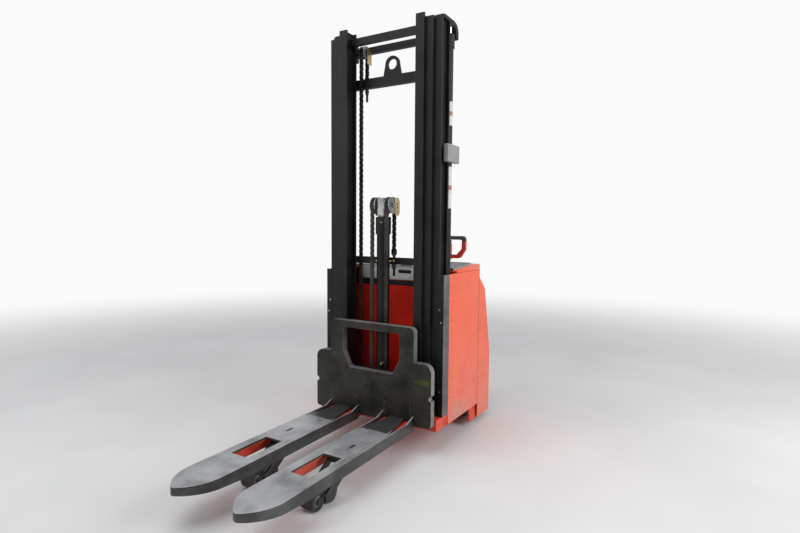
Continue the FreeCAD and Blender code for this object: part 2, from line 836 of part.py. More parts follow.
base_frame = fuse(
    "base_frame_body",
    plate_front,
    plate_rear,
    leg,
    mirrored("leg_left", leg),
    box_front,
    mirrored("base_box_front_left", box_front),
    box_side,
    mirrored("base_box_side_left", box_side),
)
sub_part("base_frame", base_frame)

# Push rods of the initial lift, inside the legs
push_rod = rod(
    "push_rod_right",
    "y",
    (d.fork_centre, pivot_z),
    (pivot_y + d.lever_half + 12, d.base_front - 0.3),
    d.push_rod_radius,
)
push_bracket = block(
    "push_bracket_right",
    (d.fork_centre - 16, d.fork_centre + 16),
    (pivot_y + 100, pivot_y + 116),
    (pivot_z - 14, leg_under - d.seat_gap),
)
sub_part("push_rods", both_sides("push_rod_pair", fuse("push_rod_set", push_rod, push_bracket)))


# Load wheels, levers and bogies of one side
def wheel(name, x, y, z, radius, half_width, hub, axle):
    """Tyre with stepped hub and an axle bore."""
    tyre = prism(
        name + "_tyre", "x", (x - half_width, x + half_width), circle(y, z, radius), (circle(y, z, axle + d.running_fit),)
    )
    recess_depth = half_width * 0.12
    recesses = []
    for word, low in (("a", x - half_width - 1), ("b", x + half_width - recess_depth)):
        recesses.append(
            prism(
                name + "_recess_" + word,
                "x",
                (low, low + recess_depth + 1),
                circle(y, z, hub),
                (circle(y, z, axle + 6),),
            )
        )
    return cut(name, tyre, *recesses)


def load_side(side, sign):
    """Lever, bogie and two wheels under one leg. sign is 1 on the right and -1 on the left."""
    x = d.fork_centre * sign
    pivot = (pivot_y, pivot_z)
    bogie = (bogie_y, d.load_radius)
    lever_parts = []
    for word, low in (("a", x - lever_outer), ("b", x + lever_face)):
        lever_parts.append(
            prism(
                "lever_%s_plate_%s" % (side, word),
                "x",
                (low, low + d.lever_plate),
                link(pivot, bogie, d.lever_length, d.lever_half),
                (circle(pivot_y, pivot_z, d.pivot_pin + d.running_fit),),
            )
        )
    sleeve = prism(
        "lever_%s_sleeve" % side,
        "x",
        (x - lever_outer, x + lever_outer),
        circle(pivot_y, pivot_z, d.lever_half - 1),
        (circle(pivot_y, pivot_z, d.pivot_pin + d.running_fit),),
    )
    stub_in = d.load_width / 2 + d.wheel_side_gap
    for word, low, high in (("a", x - lever_outer, x - stub_in), ("b", x + stub_in, x + lever_outer)):
        lever_parts.append(rod("lever_%s_stub_%s" % (side, word), "x", bogie, (low, high), d.pivot_pin))
    sub_part("lever_" + side, fuse("lever_%s_body" % side, *lever_parts, sleeve))

    half = d.load_spacing / 2
    front, rear = (bogie_y - half, d.load_radius), (bogie_y + half, d.load_radius)
    face = d.load_width / 2 + d.wheel_side_gap
    plates = []
    for word, low in (("a", x - face - d.bogie_plate), ("b", x + face)):
        plates.append(
            prism(
                "bogie_%s_plate_%s" % (side, word),
                "x",
                (low, low + d.bogie_plate),
                link(front, rear, d.load_spacing, d.bogie_half),
                (circle(bogie_y, d.load_radius, d.pivot_pin + d.running_fit),),
            )
        )
    axles = []
    for word, y in (("front", front[0]), ("rear", rear[0])):
        axles.append(
            rod(
                "bogie_%s_axle_%s" % (side, word),
                "x",
                (y, d.load_radius),
                (x - face - d.bogie_plate, x + face + d.bogie_plate),
                d.load_axle,
            )
        )
    sub_part("bogie_" + side, fuse("bogie_%s_body" % side, *plates, *axles))
    for word, y in (("front", front[0]), ("rear", rear[0])):
        name = "load_wheel_%s_%s" % (word, side)
        sub_part(
            name,
            wheel(name + "_body", x, y, d.load_radius, d.load_radius, d.load_width / 2, d.hub_radius, d.load_axle),
        )


load_side("right", 1)
load_side("left", -1)

# Mast stages
stage_top = d.inner_top_low + lift
stages = {
    "inner": (d.inner_side, d.inner_front, stage_top),
    "middle": (d.inner_side + d.stage_step_x, d.inner_front + d.stage_step_y, stage_top - d.middle_drop),
    "outer": (outer_x, outer_y, stage_top - d.outer_drop),
}


def profile(stage, low):
    """Right-hand rolled profile of a stage: two flanges and a web between their middles."""
    x, y, top = stages[stage]
    far, back = x + d.profile_width, y + d.profile_depth
    web_near = x + (d.profile_width - d.web) / 2
    web_far = web_near + d.web
    front_in, rear_in = y + d.flange, back - d.flange
    path = straight(
        (
            (x, y),
            (far, y),
            (far, front_in),
            (web_far, front_in),
            (web_far, rear_in),
            (far, rear_in),
            (far, back),
            (x, back),
            (x, rear_in),
            (web_near, rear_in),
            (web_near, front_in),
            (x, front_in),
        )
    )
    return prism(stage + "_profile", "z", (low, top), path)


def guide_roller(name, y, z, face, carrier):
    """Guide roller in the next stage's channel, with its pin from the carrying web."""
    low, high = (face, face + d.roller_width) if face.value > carrier.value else (face - d.roller_width, face)
    disc = rod(name + "_disc", "x", (y, z), (low, high), d.roller_radius)
    pin_span = (carrier, low + 1) if face.value > carrier.value else (high - 1, carrier)
    return fuse(name, disc, rod(name + "_pin", "x", (y, z), pin_span, d.roller_pin))


mast_foot = base_top + d.seat_gap
web_offset = (d.profile_width + d.web) / 2
inner_x, inner_y, inner_top = stages["inner"]
middle_x, middle_y, middle_top = stages["middle"]
outer_top = stages["outer"][2]
middle_channel = middle_y + d.profile_depth / 2
outer_channel = outer_y + d.profile_depth / 2
roller_low_z = base_top + 60

# Inner stage
inner_roller = guide_roller(
    "inner_roller", middle_channel, roller_low_z, inner_x + d.profile_width + d.roller_gap, inner_x + web_offset - 1
)
inner_right = fuse("inner_right", profile("inner", mast_foot), inner_roller)
bar_half = inner_x + (d.profile_width - d.web) / 2 + 1
top_bar_z = stage_top - d.top_bar_drop
cross_z = d.cross_low + lift
chain_far = d.chain_front_y + d.chain_thick / 2
inner_bars = [
    block(
        "inner_top_bar",
        (-bar_half, bar_half),
        (d.top_bar_front, d.top_bar_front + d.top_bar_deep),
        (top_bar_z, top_bar_z + d.top_bar_high),
    ),
    block(
        "inner_cross",
        (-bar_half, bar_half),
        (d.cross_front, d.cross_front + d.cross_deep),
        (cross_z, cross_z + d.cross_high),
    ),
    block(
        "inner_foot_bar",
        (-bar_half, bar_half),
        (d.cross_front, d.cross_front + d.cross_deep),
        (mast_foot, mast_foot + 60),
    ),
]
for word, x in (("right", d.chain_x), ("left", -d.chain_x)):
    inner_bars.append(
        block(
            "inner_chain_lug_" + word,
            (x - d.chain_width / 2, x + d.chain_width / 2),
            (d.cross_front + 1, chain_far),
            (mast_foot + 10, mast_foot + 60),
        )
    )
anchor_y = d.free_y + d.free_sheave
anchor_foot = cross_z + d.cross_high + 50
for word, x in (("right", d.free_x), ("left", -d.free_x)):
    inner_bars.append(
        rod("free_anchor_" + word, "z", (x, anchor_y), (cross_z - 68, anchor_foot), 7)
    )
    inner_bars.append(
        block(
            "free_anchor_head_" + word,
            (x - d.chain_width / 2, x + d.chain_width / 2),
            (anchor_y - d.chain_thick / 2, anchor_y + d.chain_thick / 2),
            (anchor_foot - 20, anchor_foot),
        )
    )
inner_mast = fuse("inner_mast_body", inner_right, mirrored("inner_left", inner_right), *inner_bars)
sub_part("inner_mast", inner_mast)

# Free-lift cylinder on the inner stage
collar_top = d.free_collar_top_low + lift
free_foot = mast_foot
free_tube = rod("free_tube", "z", (size(0), d.free_y), (free_foot + 110, collar_top - 5), d.free_tube)
free_collar = rod("free_collar", "z", (size(0), d.free_y), (collar_top - d.free_collar_high, collar_top), d.free_collar)
free_shoe = block(
    "free_shoe",
    (-d.free_tube, d.free_tube),
    (d.free_y - d.free_tube, d.cross_front),
    (free_foot, free_foot + 112),
)
bore = rod("free_bore", "z", (size(0), d.free_y), (free_foot + 130, collar_top + 10), d.free_rod + d.running_fit)
free_cylinder = cut("free_cylinder_body", fuse("free_cylinder_solid", free_tube, free_collar, free_shoe), bore)
sub_part("free_cylinder", free_cylinder)

# Free-lift head: rod, crosshead and two sheaves
head_top = collar_top + 20 + d.free_head_high
sheave_z = collar_top + 68
free_rod = rod("free_rod", "z", (size(0), d.free_y), (free_foot + 140, sheave_z), d.free_rod)
head_block = block(
    "head_block",
    (size(-20), size(20)),
    (d.free_y - 30, d.free_y + 30),
    (collar_top + 10, head_top),
)
head_pin = rod(
    "head_pin",
    "x",
    (d.free_y, sheave_z),
    (-d.free_x - d.sheave_width / 2 - 8, d.free_x + d.sheave_width / 2 + 8),
    size(12),
)
sub_part("lift_head", fuse("lift_head_body", free_rod, head_block, head_pin))


def sheave(name, x, y, z, pitch, pin):
    """Grooved chain sheave with flanges."""
    half = d.sheave_width / 2
    core = prism(name + "_core", "x", (x - half, x + half), circle(y, z, pitch + 6), (circle(y, z, pin + d.running_fit),))
    ring_out = prism(
        name + "_groove",
        "x",
        (x - d.chain_width / 2 - 1, x + d.chain_width / 2 + 1),
        circle(y, z, pitch + 20),
        (circle(y, z, pitch - d.chain_thick / 2),),
    )
    return cut(name, core, ring_out)


head_sheaves = [
    sheave("head_sheave_right", d.free_x, d.free_y, sheave_z, d.free_sheave, size(12)),
    sheave("head_sheave_left", -d.free_x, d.free_y, sheave_z, d.free_sheave, size(12)),
]
sub_part("head_sheaves", together("head_sheave_pair", *head_sheaves))


def strand(name, x, y, low, high):
    """Straight stretch of leaf chain on both sides."""
    return both_sides(
        name + "_pair",
        block(
            name + "_right",
            (x - d.chain_width / 2, x + d.chain_width / 2),
            (y - d.chain_thick / 2, y + d.chain_thick / 2),
            (low, high),
        ),
    )


sub_part(
    "free_chain_front",
    strand("free_chain_front", d.free_x, d.free_y - d.free_sheave, chain_foot, sheave_z),
)
sub_part(
    "free_chain_rear",
    strand("free_chain_rear", d.free_x, anchor_y, anchor_foot, sheave_z),
)

# Middle stage
middle_roller = guide_roller(
    "middle_roller", outer_channel, roller_low_z, middle_x + d.profile_width + d.roller_gap, middle_x + web_offset - 1
)
inner_guide = guide_roller(
    "inner_guide",
    channel_y,
    middle_top - 60,
    middle_x - d.roller_gap,
    middle_x + (d.profile_width - d.web) / 2 + 1,
)
sheave_y = d.chain_front_y + d.chain_sheave
rear_bar_z = stage_top - d.rear_bar_drop
mast_sheave_z = rear_bar_z - 2
cheek = block(
    "middle_cheek",
    (middle_x + 12, middle_x + 24),
    (middle_y + d.profile_depth - 1, d.rear_bar_front + d.rear_bar_deep),
    (mast_sheave_z - 34, rear_bar_z + d.rear_bar_high),
)
sheave_pin = rod(
    "mast_sheave_pin",
    "x",
    (sheave_y, mast_sheave_z),
    (d.chain_x - d.sheave_width / 2 - 6, middle_x + 13),
    size(10),
)
middle_right = fuse(
    "middle_right", profile("middle", mast_foot), middle_roller, inner_guide, cheek, sheave_pin
)
middle_bar = block(
    "middle_bar",
    (-middle_x - 13, middle_x + 13),
    (d.rear_bar_front, d.rear_bar_front + d.rear_bar_deep),
    (rear_bar_z, rear_bar_z + d.rear_bar_high),
)
middle_foot = block(
    "middle_foot",
    (-middle_x - 40, middle_x + 40),
    (middle_y + d.profile_depth - 1, middle_y + d.profile_depth + 20),
    (base_top + 110, base_top + 190),
)
middle_mast = fuse(
    "middle_mast_body", middle_right, mirrored("middle_left", middle_right), middle_bar, middle_foot
)
sub_part("middle_mast", middle_mast)
mast_sheaves = [
    sheave("mast_sheave_right", d.chain_x, sheave_y, mast_sheave_z, d.chain_sheave, size(10)),
    sheave("mast_sheave_left", -d.chain_x, sheave_y, mast_sheave_z, d.chain_sheave, size(10)),
]
sub_part("mast_sheaves", together("mast_sheave_pair", *mast_sheaves))

# Outer stage with the lifting eye
eye_bar_z = stage_top - d.eye_bar_drop
eye_bar = block(
    "eye_bar",
    (-outer_x - d.weld_lap, outer_x + d.weld_lap),
    (d.eye_bar_front, d.eye_bar_front + d.eye_bar_deep),
    (eye_bar_z, eye_bar_z + d.eye_bar_high),
)
eye_z = eye_bar_z + d.eye_bar_high + d.eye_rise
eye_out = d.eye_hole + d.eye_rim
eye_y = d.eye_bar_front + d.eye_bar_deep / 2
lifting_eye = prism(
    "lifting_eye",
    "y",
    (eye_y - d.eye_plate / 2, eye_y + d.eye_plate / 2),
    [
        (-d.eye_base / 2, eye_bar_z + d.eye_bar_high - 1, None),
        (d.eye_base / 2, eye_bar_z + d.eye_bar_high - 1, None),
        (eye_out, eye_z, eye_out),
        (size(0), eye_z + eye_out, eye_out),
        (-eye_out, eye_z, None),
    ],
    (circle(size(0), eye_z, d.eye_hole),),
)
outer_guide = guide_roller(
    "outer_guide",
    middle_channel,
    outer_top - 60,
    outer_x - d.roller_gap,
    outer_x + (d.profile_width - d.web) / 2 + 1,
)
outer_right = fuse("outer_right", profile("outer", base_top), outer_guide)
rear_anchor_y = sheave_y + d.chain_sheave
mast_anchor_top = eye_bar_z + d.eye_bar_high + 20
anchors = []
for word, x in (("right", d.chain_x), ("left", -d.chain_x)):
    anchors.append(
        block(
            "mast_anchor_block_" + word,
            (x - 16, x + 16),
            (d.eye_bar_front + d.eye_bar_deep - 1, rear_anchor_y + 12),
            (eye_bar_z + 8, eye_bar_z + 44),
        )
    )
    anchors.append(rod("mast_anchor_rod_" + word, "z", (x, rear_anchor_y), (eye_bar_z - 66, mast_anchor_top), 7))
    anchors.append(
        block(
            "mast_anchor_head_" + word,
            (x - d.chain_width / 2, x + d.chain_width / 2),
            (rear_anchor_y - d.chain_thick / 2, rear_anchor_y + d.chain_thick / 2),
            (mast_anchor_top - 20, mast_anchor_top),
        )
    )
outer_foot = block(
    "outer_foot",
    (-outer_x - d.weld_lap, outer_x + d.weld_lap),
    (outer_y + d.profile_depth - 1, outer_y + d.profile_depth + 18),
    (base_top, base_top + 100),
)
foot_relief = block(
    "outer_foot_relief",
    (-outer_x + 6, outer_x - 6),
    (outer_y + d.profile_depth - 20, middle_y + d.profile_depth + 26),
    (base_top + 20, base_top + 200),
)
outer_mast = fuse(
    "outer_mast_body",
    outer_right,
    mirrored("outer_left", outer_right),
    eye_bar,
    lifting_eye,
    cut("outer_foot_bar", outer_foot, foot_relief),
    *anchors,
)
sub_part("outer_mast", outer_mast)

sub_part(
    "mast_chain_front",
    strand("mast_chain_front", d.chain_x, d.chain_front_y, mast_foot + 60, mast_sheave_z),
)
sub_part(
    "mast_chain_rear",
    strand("mast_chain_rear", d.chain_x, rear_anchor_y, mast_anchor_top, mast_sheave_z),
)

# Guards over the mast chain sheaves
guard = block(
    "sheave_guard_right",
    (d.chain_x - d.sheave_width / 2 - 10, d.chain_x - d.sheave_width / 2 - 6.3),
    (sheave_y - 6, d.rear_bar_front - d.seat_gap),
    (mast_sheave_z - 70, mast_sheave_z + 20),
)
sub_part("sheave_guards", both_sides("sheave_guard_pair", guard))

# Side cylinders and their rods
gland_top = stage_top - d.ram_top_drop
ram_tube = rod("ram_tube", "z", (d.ram_x, d.ram_y), (base_top, gland_top - 5), d.ram_radius)
ram_gland = rod("ram_gland", "z", (d.ram_x, d.ram_y), (gland_top - d.ram_gland_high, gland_top), d.ram_gland_radius)
ram_bore = rod("ram_bore", "z", (d.ram_x, d.ram_y), (base_top + 40, gland_top + 10), d.ram_rod + d.running_fit)
ram = cut("ram_right", fuse("ram_solid", ram_tube, ram_gland), ram_bore)
sub_part("side_cylinders", both_sides("ram_pair", ram))
hook_z = middle_top
ram_rod = rod("ram_rod", "z", (d.ram_x, d.ram_y), (base_top + 50, hook_z + 2), d.ram_rod)
hook = fillet_path(
    [
        (middle_y + 40, hook_z),
        (middle_y + 40, hook_z + d.hook_plate),
        (d.hook_rear, hook_z + d.hook_plate),
        (d.hook_rear, hook_z - 70),
        (d.hook_rear - 16, hook_z - 70),
        (d.hook_rear - 16, hook_z),
    ],
    [0, 0, size(34), 0, 0, size(16)],
)
hook_bracket = prism("hook_bracket", "x", (middle_x + 12, d.ram_x + 20), hook)
sub_part("lift_rods", both_sides("lift_rod_pair", fuse("lift_rod_right", ram_rod, hook_bracket)))

# Valve box clamped on the right profile
valve_box = block(
    "valve_box_body",
    (d.ram_x + d.ram_radius + d.seat_gap, width - d.box_inset),
    (d.valve_front, d.valve_rear),
    (d.valve_low + lift, d.valve_low + d.valve_high + lift),
)
sub_part("valve_box", valve_box)

# Battery compartment
panel_top = d.panel_top_low + lift
side_panel = block(
    "side_panel_right", (panel_in, width), (d.panel_front, d.panel_rear), (base_under, panel_top)
)
sub_part("side_panels", both_sides("side_panel_pair", side_panel))
floor_z = d.floor_low + lift
step_z = d.step_low + lift
wall_rear = d.drive_y - d.motor_radius - d.motor_gap
hood_face_low = panel_top + d.hood_high - d.hood_front_high
compartment = prism(
    "compartment_body",
    "x",
    (-panel_in, panel_in),
    straight(
        (
            (d.wall_front, floor_z),
            (d.step_y, floor_z),
            (d.step_y, step_z),
            (wall_rear, step_z),
            (wall_rear, panel_top - 2),
            (wall_rear - d.wall_thick, panel_top - 2),
            (wall_rear - d.wall_thick, step_z + d.wall_thick),
            (d.step_y - d.wall_thick, step_z + d.wall_thick),
            (d.step_y - d.wall_thick, floor_z + d.wall_thick),
            (d.wall_front + d.wall_thick, floor_z + d.wall_thick),
            (d.wall_front + d.wall_thick, hood_face_low - 2),
            (d.wall_front, hood_face_low - 2),
        )
    ),
)
sub_part("compartment", compartment)
battery = block(
    "battery_body",
    (-d.battery_length / 2, d.battery_length / 2),
    (d.wall_front + d.wall_thick + d.battery_gap / 2, d.step_y - d.wall_thick - d.battery_gap / 2),
    (floor_z + d.wall_thick + d.seat_gap, floor_z + d.wall_thick + d.seat_gap + d.battery_high),
)
sub_part("battery", battery)

# Hood lid with its grey tray
hood_top = panel_top + d.hood_high
hood_seat = panel_top + d.hood_seam
hood = prism(
    "hood_body",
    "x",
    (-width, width),
    fillet_path(
        (
            (d.wall_front, hood_face_low),
            (d.wall_front + d.hood_plate, hood_face_low),
            (d.wall_front + d.hood_plate, hood_top - d.hood_plate),
            (d.panel_rear - d.hood_plate, hood_top - d.hood_plate),
            (d.panel_rear - d.hood_plate, hood_seat),
            (d.panel_rear, hood_seat),
            (d.panel_rear, hood_top),
            (d.wall_front, hood_top),
        ),
        [0, 0, 0, 0, 0, 0, d.hood_hinge, 0],
    ),
)
hood_notch = block(
    "hood_notch",
    (panel_in - 1, width + 1),
    (d.wall_front - 1, d.wall_front + d.hood_plate),
    (hood_face_low - 1, hood_seat),
)
hood_cut = cut("hood_cut", hood, hood_notch, mirrored("hood_notch_left", hood_notch))
sub_part("hood", hood_cut)

# Side posts beside the mast
post = block(
    "side_post_right",
    (outer_x + d.profile_width + d.post_gap, width),
    (d.post_front, d.panel_front - d.seat_gap),
    (base_under + d.base_box_height + d.seat_gap, d.post_top_low + lift),
)
sub_part("side_posts", both_sides("side_post_pair", post))

# Drive unit
drive_rear = d.cover_rear - d.cover_wall - d.seat_gap
deck = block(
    "drive_deck_plate",
    (-d.drive_half, d.drive_half),
    (d.drive_front, drive_rear),
    (d.drive_deck - d.drive_plate, d.drive_deck),
)
skirt = block(
    "drive_skirt",
    (d.drive_half - d.drive_plate, d.drive_half),
    (d.drive_front, drive_rear),
    (d.drive_skirt_low, d.drive_deck),
)
guide_pad = block(
    "guide_pad",
    (d.drive_half - 1, panel_in - d.seat_gap),
    (d.drive_front + d.pad_inset, d.cover_front - d.pad_inset),
    (d.drive_deck - d.pad_drop - d.pad_high, d.drive_deck - d.pad_drop),
)
turret = block("turret", (-d.turret_half, d.turret_half), (d.drive_front, drive_rear), (d.drive_deck - 60, d.turret_top))
bay = block(
    "drive_bay",
    (d.drive_plate - d.turret_half, d.turret_half - d.drive_plate),
    (d.drive_front + d.drive_plate, drive_rear - d.drive_plate),
    (size(0), d.turret_top - d.drive_plate),
)
ring = rod("turret_hole", "z", (size(0), d.drive_y), (d.turret_top - 20, d.turret_top + 20), d.turret_bearing)
castor_holes = []
for word, x in (("right", d.castor_x), ("left", -d.castor_x)):
    castor_holes.append(
        rod(
            "castor_hole_" + word,
            "z",
            (x, d.castor_y),
            (d.drive_deck - 20, d.drive_deck + 20),
            d.castor_stem + d.running_fit,
        )
    )
bracket_front = d.drive_y + d.motor_radius + d.motor_gap
bracket = block(
    "tiller_bracket",
    (-d.tiller_bracket_half, d.tiller_bracket_half),
    (bracket_front, d.tiller_y),
    (d.tiller_base_low, d.tiller_base_low + d.tiller_bracket_high),
)
bracket_end = rod(
    "tiller_bracket_end",
    "z",
    (size(0), d.tiller_y),
    (d.tiller_base_low, d.tiller_base_low + d.tiller_bracket_high),
    d.tiller_bracket_half,
)
bracket_post = block(
    "tiller_bracket_post",
    (-d.tiller_bracket_half, d.tiller_bracket_half),
    (bracket_front, drive_rear - 20),
    (d.turret_top - 1, d.tiller_base_low + 1),
)
bracket_hole = rod(
    "tiller_bracket_hole",
    "z",
    (size(0), d.tiller_y),
    (d.tiller_base_low - 10, d.tiller_base_low + 60),
    d.tiller_pin + d.running_fit,
)
chassis = cut(
    "drive_chassis_body",
    fuse(
        "drive_chassis_solid",
        deck,
        skirt,
        mirrored("drive_skirt_left", skirt),
        guide_pad,
        mirrored("guide_pad_left", guide_pad),
        turret,
        bracket,
        bracket_end,
        bracket_post,
    ),
    bay,
    ring,
    bracket_hole,
    *castor_holes,
)
sub_part("drive_chassis", chassis)
motor = rod(
    "drive_motor_body",
    "z",
    (size(0), d.drive_y),
    (d.turret_top + d.seat_gap, d.turret_top + d.seat_gap + d.motor_high),
    d.motor_radius,
)
sub_part("drive_motor", motor)

# Steered gear leg and drive wheel
fork_side = d.drive_width / 2 + 8
gear = block(
    "gear_case",
    (fork_side, fork_side + 40),
    (d.drive_y - 55, d.drive_y + 55),
    (d.drive_radius - 55, d.drive_radius * 2 + 8),
)
gear_top = rod(
    "gear_top", "z", (size(0), d.drive_y), (d.drive_radius * 2 + 8, d.turret_top - d.drive_plate - 6), size(100)
)
gear_neck = rod(
    "gear_neck",
    "z",
    (size(0), d.drive_y),
    (d.turret_top - d.drive_plate - 7, d.turret_top - 0.3),
    d.turret_bearing - d.running_fit,
)
drive_axle = rod(
    "drive_axle", "x", (d.drive_y, d.drive_radius), (-d.drive_width / 2 + 4, fork_side + 1), size(18)
)
sub_part("drive_fork", fuse("drive_fork_body", gear, gear_top, gear_neck, drive_axle))
sub_part(
    "drive_wheel",
    wheel("drive_wheel_body", size(0), d.drive_y, d.drive_radius, d.drive_radius, d.drive_width / 2, size(80), size(18)),
)

# Castors
for side, sign in (("right", 1), ("left", -1)):
    x = d.castor_x * sign
    axle_y = d.castor_y + d.castor_trail
    face = d.castor_width / 2 + 2
    cheeks = []
    for word, low in (("a", x - face - d.castor_plate), ("b", x + face)):
        cheeks.append(
            prism(
                "castor_%s_cheek_%s" % (side, word),
                "x",
                (low, low + d.castor_plate),
                straight(
                    (
                        (d.castor_y - 32, d.castor_crown),
                        (d.castor_y - 32, d.castor_crown - 20),
                        (axle_y - 16, d.castor_radius - 12),
                        (axle_y + 16, d.castor_radius - 12),
                        (d.castor_y + 40, d.castor_crown),
                    )
                ),
            )
        )
    crown = block(
        "castor_%s_crown" % side,
        (x - face - d.castor_plate, x + face + d.castor_plate),
        (d.castor_y - 32, d.castor_y + 40),
        (d.castor_crown - 6, d.castor_crown),
    )
    stem = rod("castor_%s_stem" % side, "z", (x, d.castor_y), (d.castor_crown - 1, d.drive_deck - 0.5), d.castor_stem)
    collar = rod(
        "castor_%s_collar" % side,
        "z",
        (x, d.castor_y),
        (d.castor_crown - 1, d.drive_deck - d.drive_plate - d.seat_gap),
        d.castor_stem + 12,
    )
    axle = rod(
        "castor_%s_axle" % side,
        "x",
        (axle_y, d.castor_radius),
        (x - face - d.castor_plate, x + face + d.castor_plate),
        size(8),
    )
    sub_part("castor_fork_" + side, fuse("castor_fork_%s_body" % side, *cheeks, crown, stem, collar, axle))
    name = "castor_wheel_" + side
    sub_part(
        name,
        wheel(name + "_body", x, axle_y, d.castor_radius, d.castor_radius, d.castor_width / 2, size(42), size(8)),
    )

# Rear cover
cover_path = (
    (d.cover_front, d.cover_low),
    (d.cover_rear, d.cover_low),
    (d.cover_rear, d.cover_bend),
    (d.cover_shoulder_y, d.cover_shoulder),
    (d.cover_front, d.cover_top),
)
cover_outer = prism(
    "cover_outer",
    "x",
    (-d.cover_half, d.cover_half),
    fillet_path(cover_path, [0, 0, size(150), size(60), 0]),
)
cover_in = (
    (d.cover_front - 10, d.cover_low - 10),
    (d.cover_rear - d.cover_wall, d.cover_low - 10),
    (d.cover_rear - d.cover_wall, d.cover_bend),
    (d.cover_shoulder_y - d.cover_wall, d.cover_shoulder - d.cover_wall),
    (d.cover_front - 10, d.cover_top - d.cover_wall),
)
cover_inner = prism(
    "cover_inner",
    "x",
    (d.cover_wall - d.cover_half, d.cover_half - d.cover_wall),
    fillet_path(cover_in, [0, 0, size(145), size(55), 0]),
)
cover_slot = block(
    "cover_slot",
    (-d.tiller_bracket_half - 4, d.tiller_bracket_half + 4),
    (d.cover_rear - 20, d.cover_rear + 20),
    (d.tiller_base_low - 4, d.tiller_base_low + d.tiller_bracket_high + 4),
)
sub_part("rear_cover", cut("rear_cover_body", cover_outer, cover_inner, cover_slot))

# Tiller: turning base, arm and head
turn_low = d.tiller_base_low + d.tiller_bracket_high + d.seat_gap
turn_plate = rod("tiller_turn_plate", "z", (size(0), d.tiller_y), (turn_low, turn_low + 20), d.tiller_turn_radius)
turn_pin = rod("tiller_turn_pin", "z", (size(0), d.tiller_y), (d.tiller_base_low, turn_low + 1), d.tiller_pin)
ear = prism(
    "tiller_ear_right",
    "x",
    (d.tiller_arm_half + 2, d.tiller_arm_half + 2 + d.tiller_ear),
    fillet_path(
        (
            (d.tiller_y - 20, turn_low + 19),
            (d.tiller_y + 20, turn_low + 19),
            (d.tiller_y + 20, d.tiller_z + 20),
            (d.tiller_y - 20, d.tiller_z + 20),
        ),
        [0, 0, size(18), size(18)],
    ),
)
tilt_pin = rod(
    "tiller_tilt_pin",
    "x",
    (d.tiller_y, d.tiller_z),
    (-d.tiller_arm_half - 3, d.tiller_arm_half + 3),
    d.tiller_pin,
)
sub_part(
    "tiller_base",
    fuse("tiller_base_body", turn_plate, turn_pin, ear, mirrored("tiller_ear_left", ear), tilt_pin),
)
head_rear = d.rear_reach
head_front = head_rear - d.head_deep
head_mid = (head_front + head_rear) / 2
arm_half = d.tiller_arm_deep / 2
arm = prism(
    "tiller_arm_bar",
    "x",
    (-d.tiller_arm_half, d.tiller_arm_half),
    [
        (d.tiller_y, d.tiller_z - arm_half, arm_half),
        (d.tiller_y + arm_half, d.tiller_z, None),
        (head_mid + arm_half, d.head_low + 30, None),
        (head_mid - arm_half, d.head_low + 30, None),
        (d.tiller_y - arm_half, d.tiller_z, arm_half),
    ],
    (circle(d.tiller_y, d.tiller_z, d.tiller_pin + d.running_fit),),
)
head_hub = block(
    "head_hub",
    (-d.head_hub_half, d.head_hub_half),
    (head_front, head_rear),
    (d.head_low, d.head_low + d.head_high * 0.7),
)
guard_in = d.head_half - d.guard_bar
loop_low = d.head_low + 12
loop_high = d.head_low + d.head_high
head_guard = prism(
    "head_guard",
    "y",
    (head_mid - 14, head_mid + 14),
    fillet_path(
        (
            (-d.head_half + 40, loop_low),
            (d.head_half - 40, loop_low),
            (d.head_half, loop_low + 60),
            (d.head_half, loop_high),
            (-d.head_half, loop_high),
            (-d.head_half, loop_low + 60),
        ),
        [size(30), size(30), size(30), size(24), size(24), size(30)],
    ),
    (
        fillet_path(
            (
                (-guard_in + 40, loop_low + d.guard_bar),
                (guard_in - 40, loop_low + d.guard_bar),
                (guard_in, loop_low + 66),
                (guard_in, loop_high - d.guard_bar),
                (-guard_in, loop_high - d.guard_bar),
                (-guard_in, loop_low + 66),
            ),
            [size(16), size(16), size(16), size(10), size(10), size(16)],
        ),
    ),
)
sub_part("tiller_arm", fuse("tiller_arm_body", arm, head_hub, head_guard))


# Build, check and write
def finish():
    """Recompute, test every object and write each sub-part's file."""
    doc.recompute()
    for thing in doc.Objects:
        bad = [word for word in thing.State if word in ("Invalid", "Error")]
        if bad:
            raise RuntimeError("failed object: " + thing.Name)
    for thing in NODES:
        if thing.Shape.isNull() or not thing.Shape.isValid():
            raise RuntimeError("bad shape: " + thing.Label)
    os.makedirs("parts", exist_ok=True)
    for thing in NODES:
        thing.Shape.exportStep("parts/" + thing.Label + ".step")
        box = thing.Shape.BoundBox
        print(
            "%-24s solids %2d  X %7.1f %7.1f  Y %7.1f %7.1f  Z %7.1f %7.1f"
            % (thing.Label, len(thing.Shape.Solids), box.XMin, box.XMax, box.YMin, box.YMax, box.ZMin, box.ZMax)
        )


finish()
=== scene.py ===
# %% [markdown]
# # A pedestrian stacker with a three-stage mast
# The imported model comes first. Each of its nodes keeps its shape and place, and this lesson gives it a
# finish, adds the small pieces that show, and puts the whole under soft light.

# %% Load the frame
import math

import bmesh
import bpy
from mathutils import Matrix, Vector


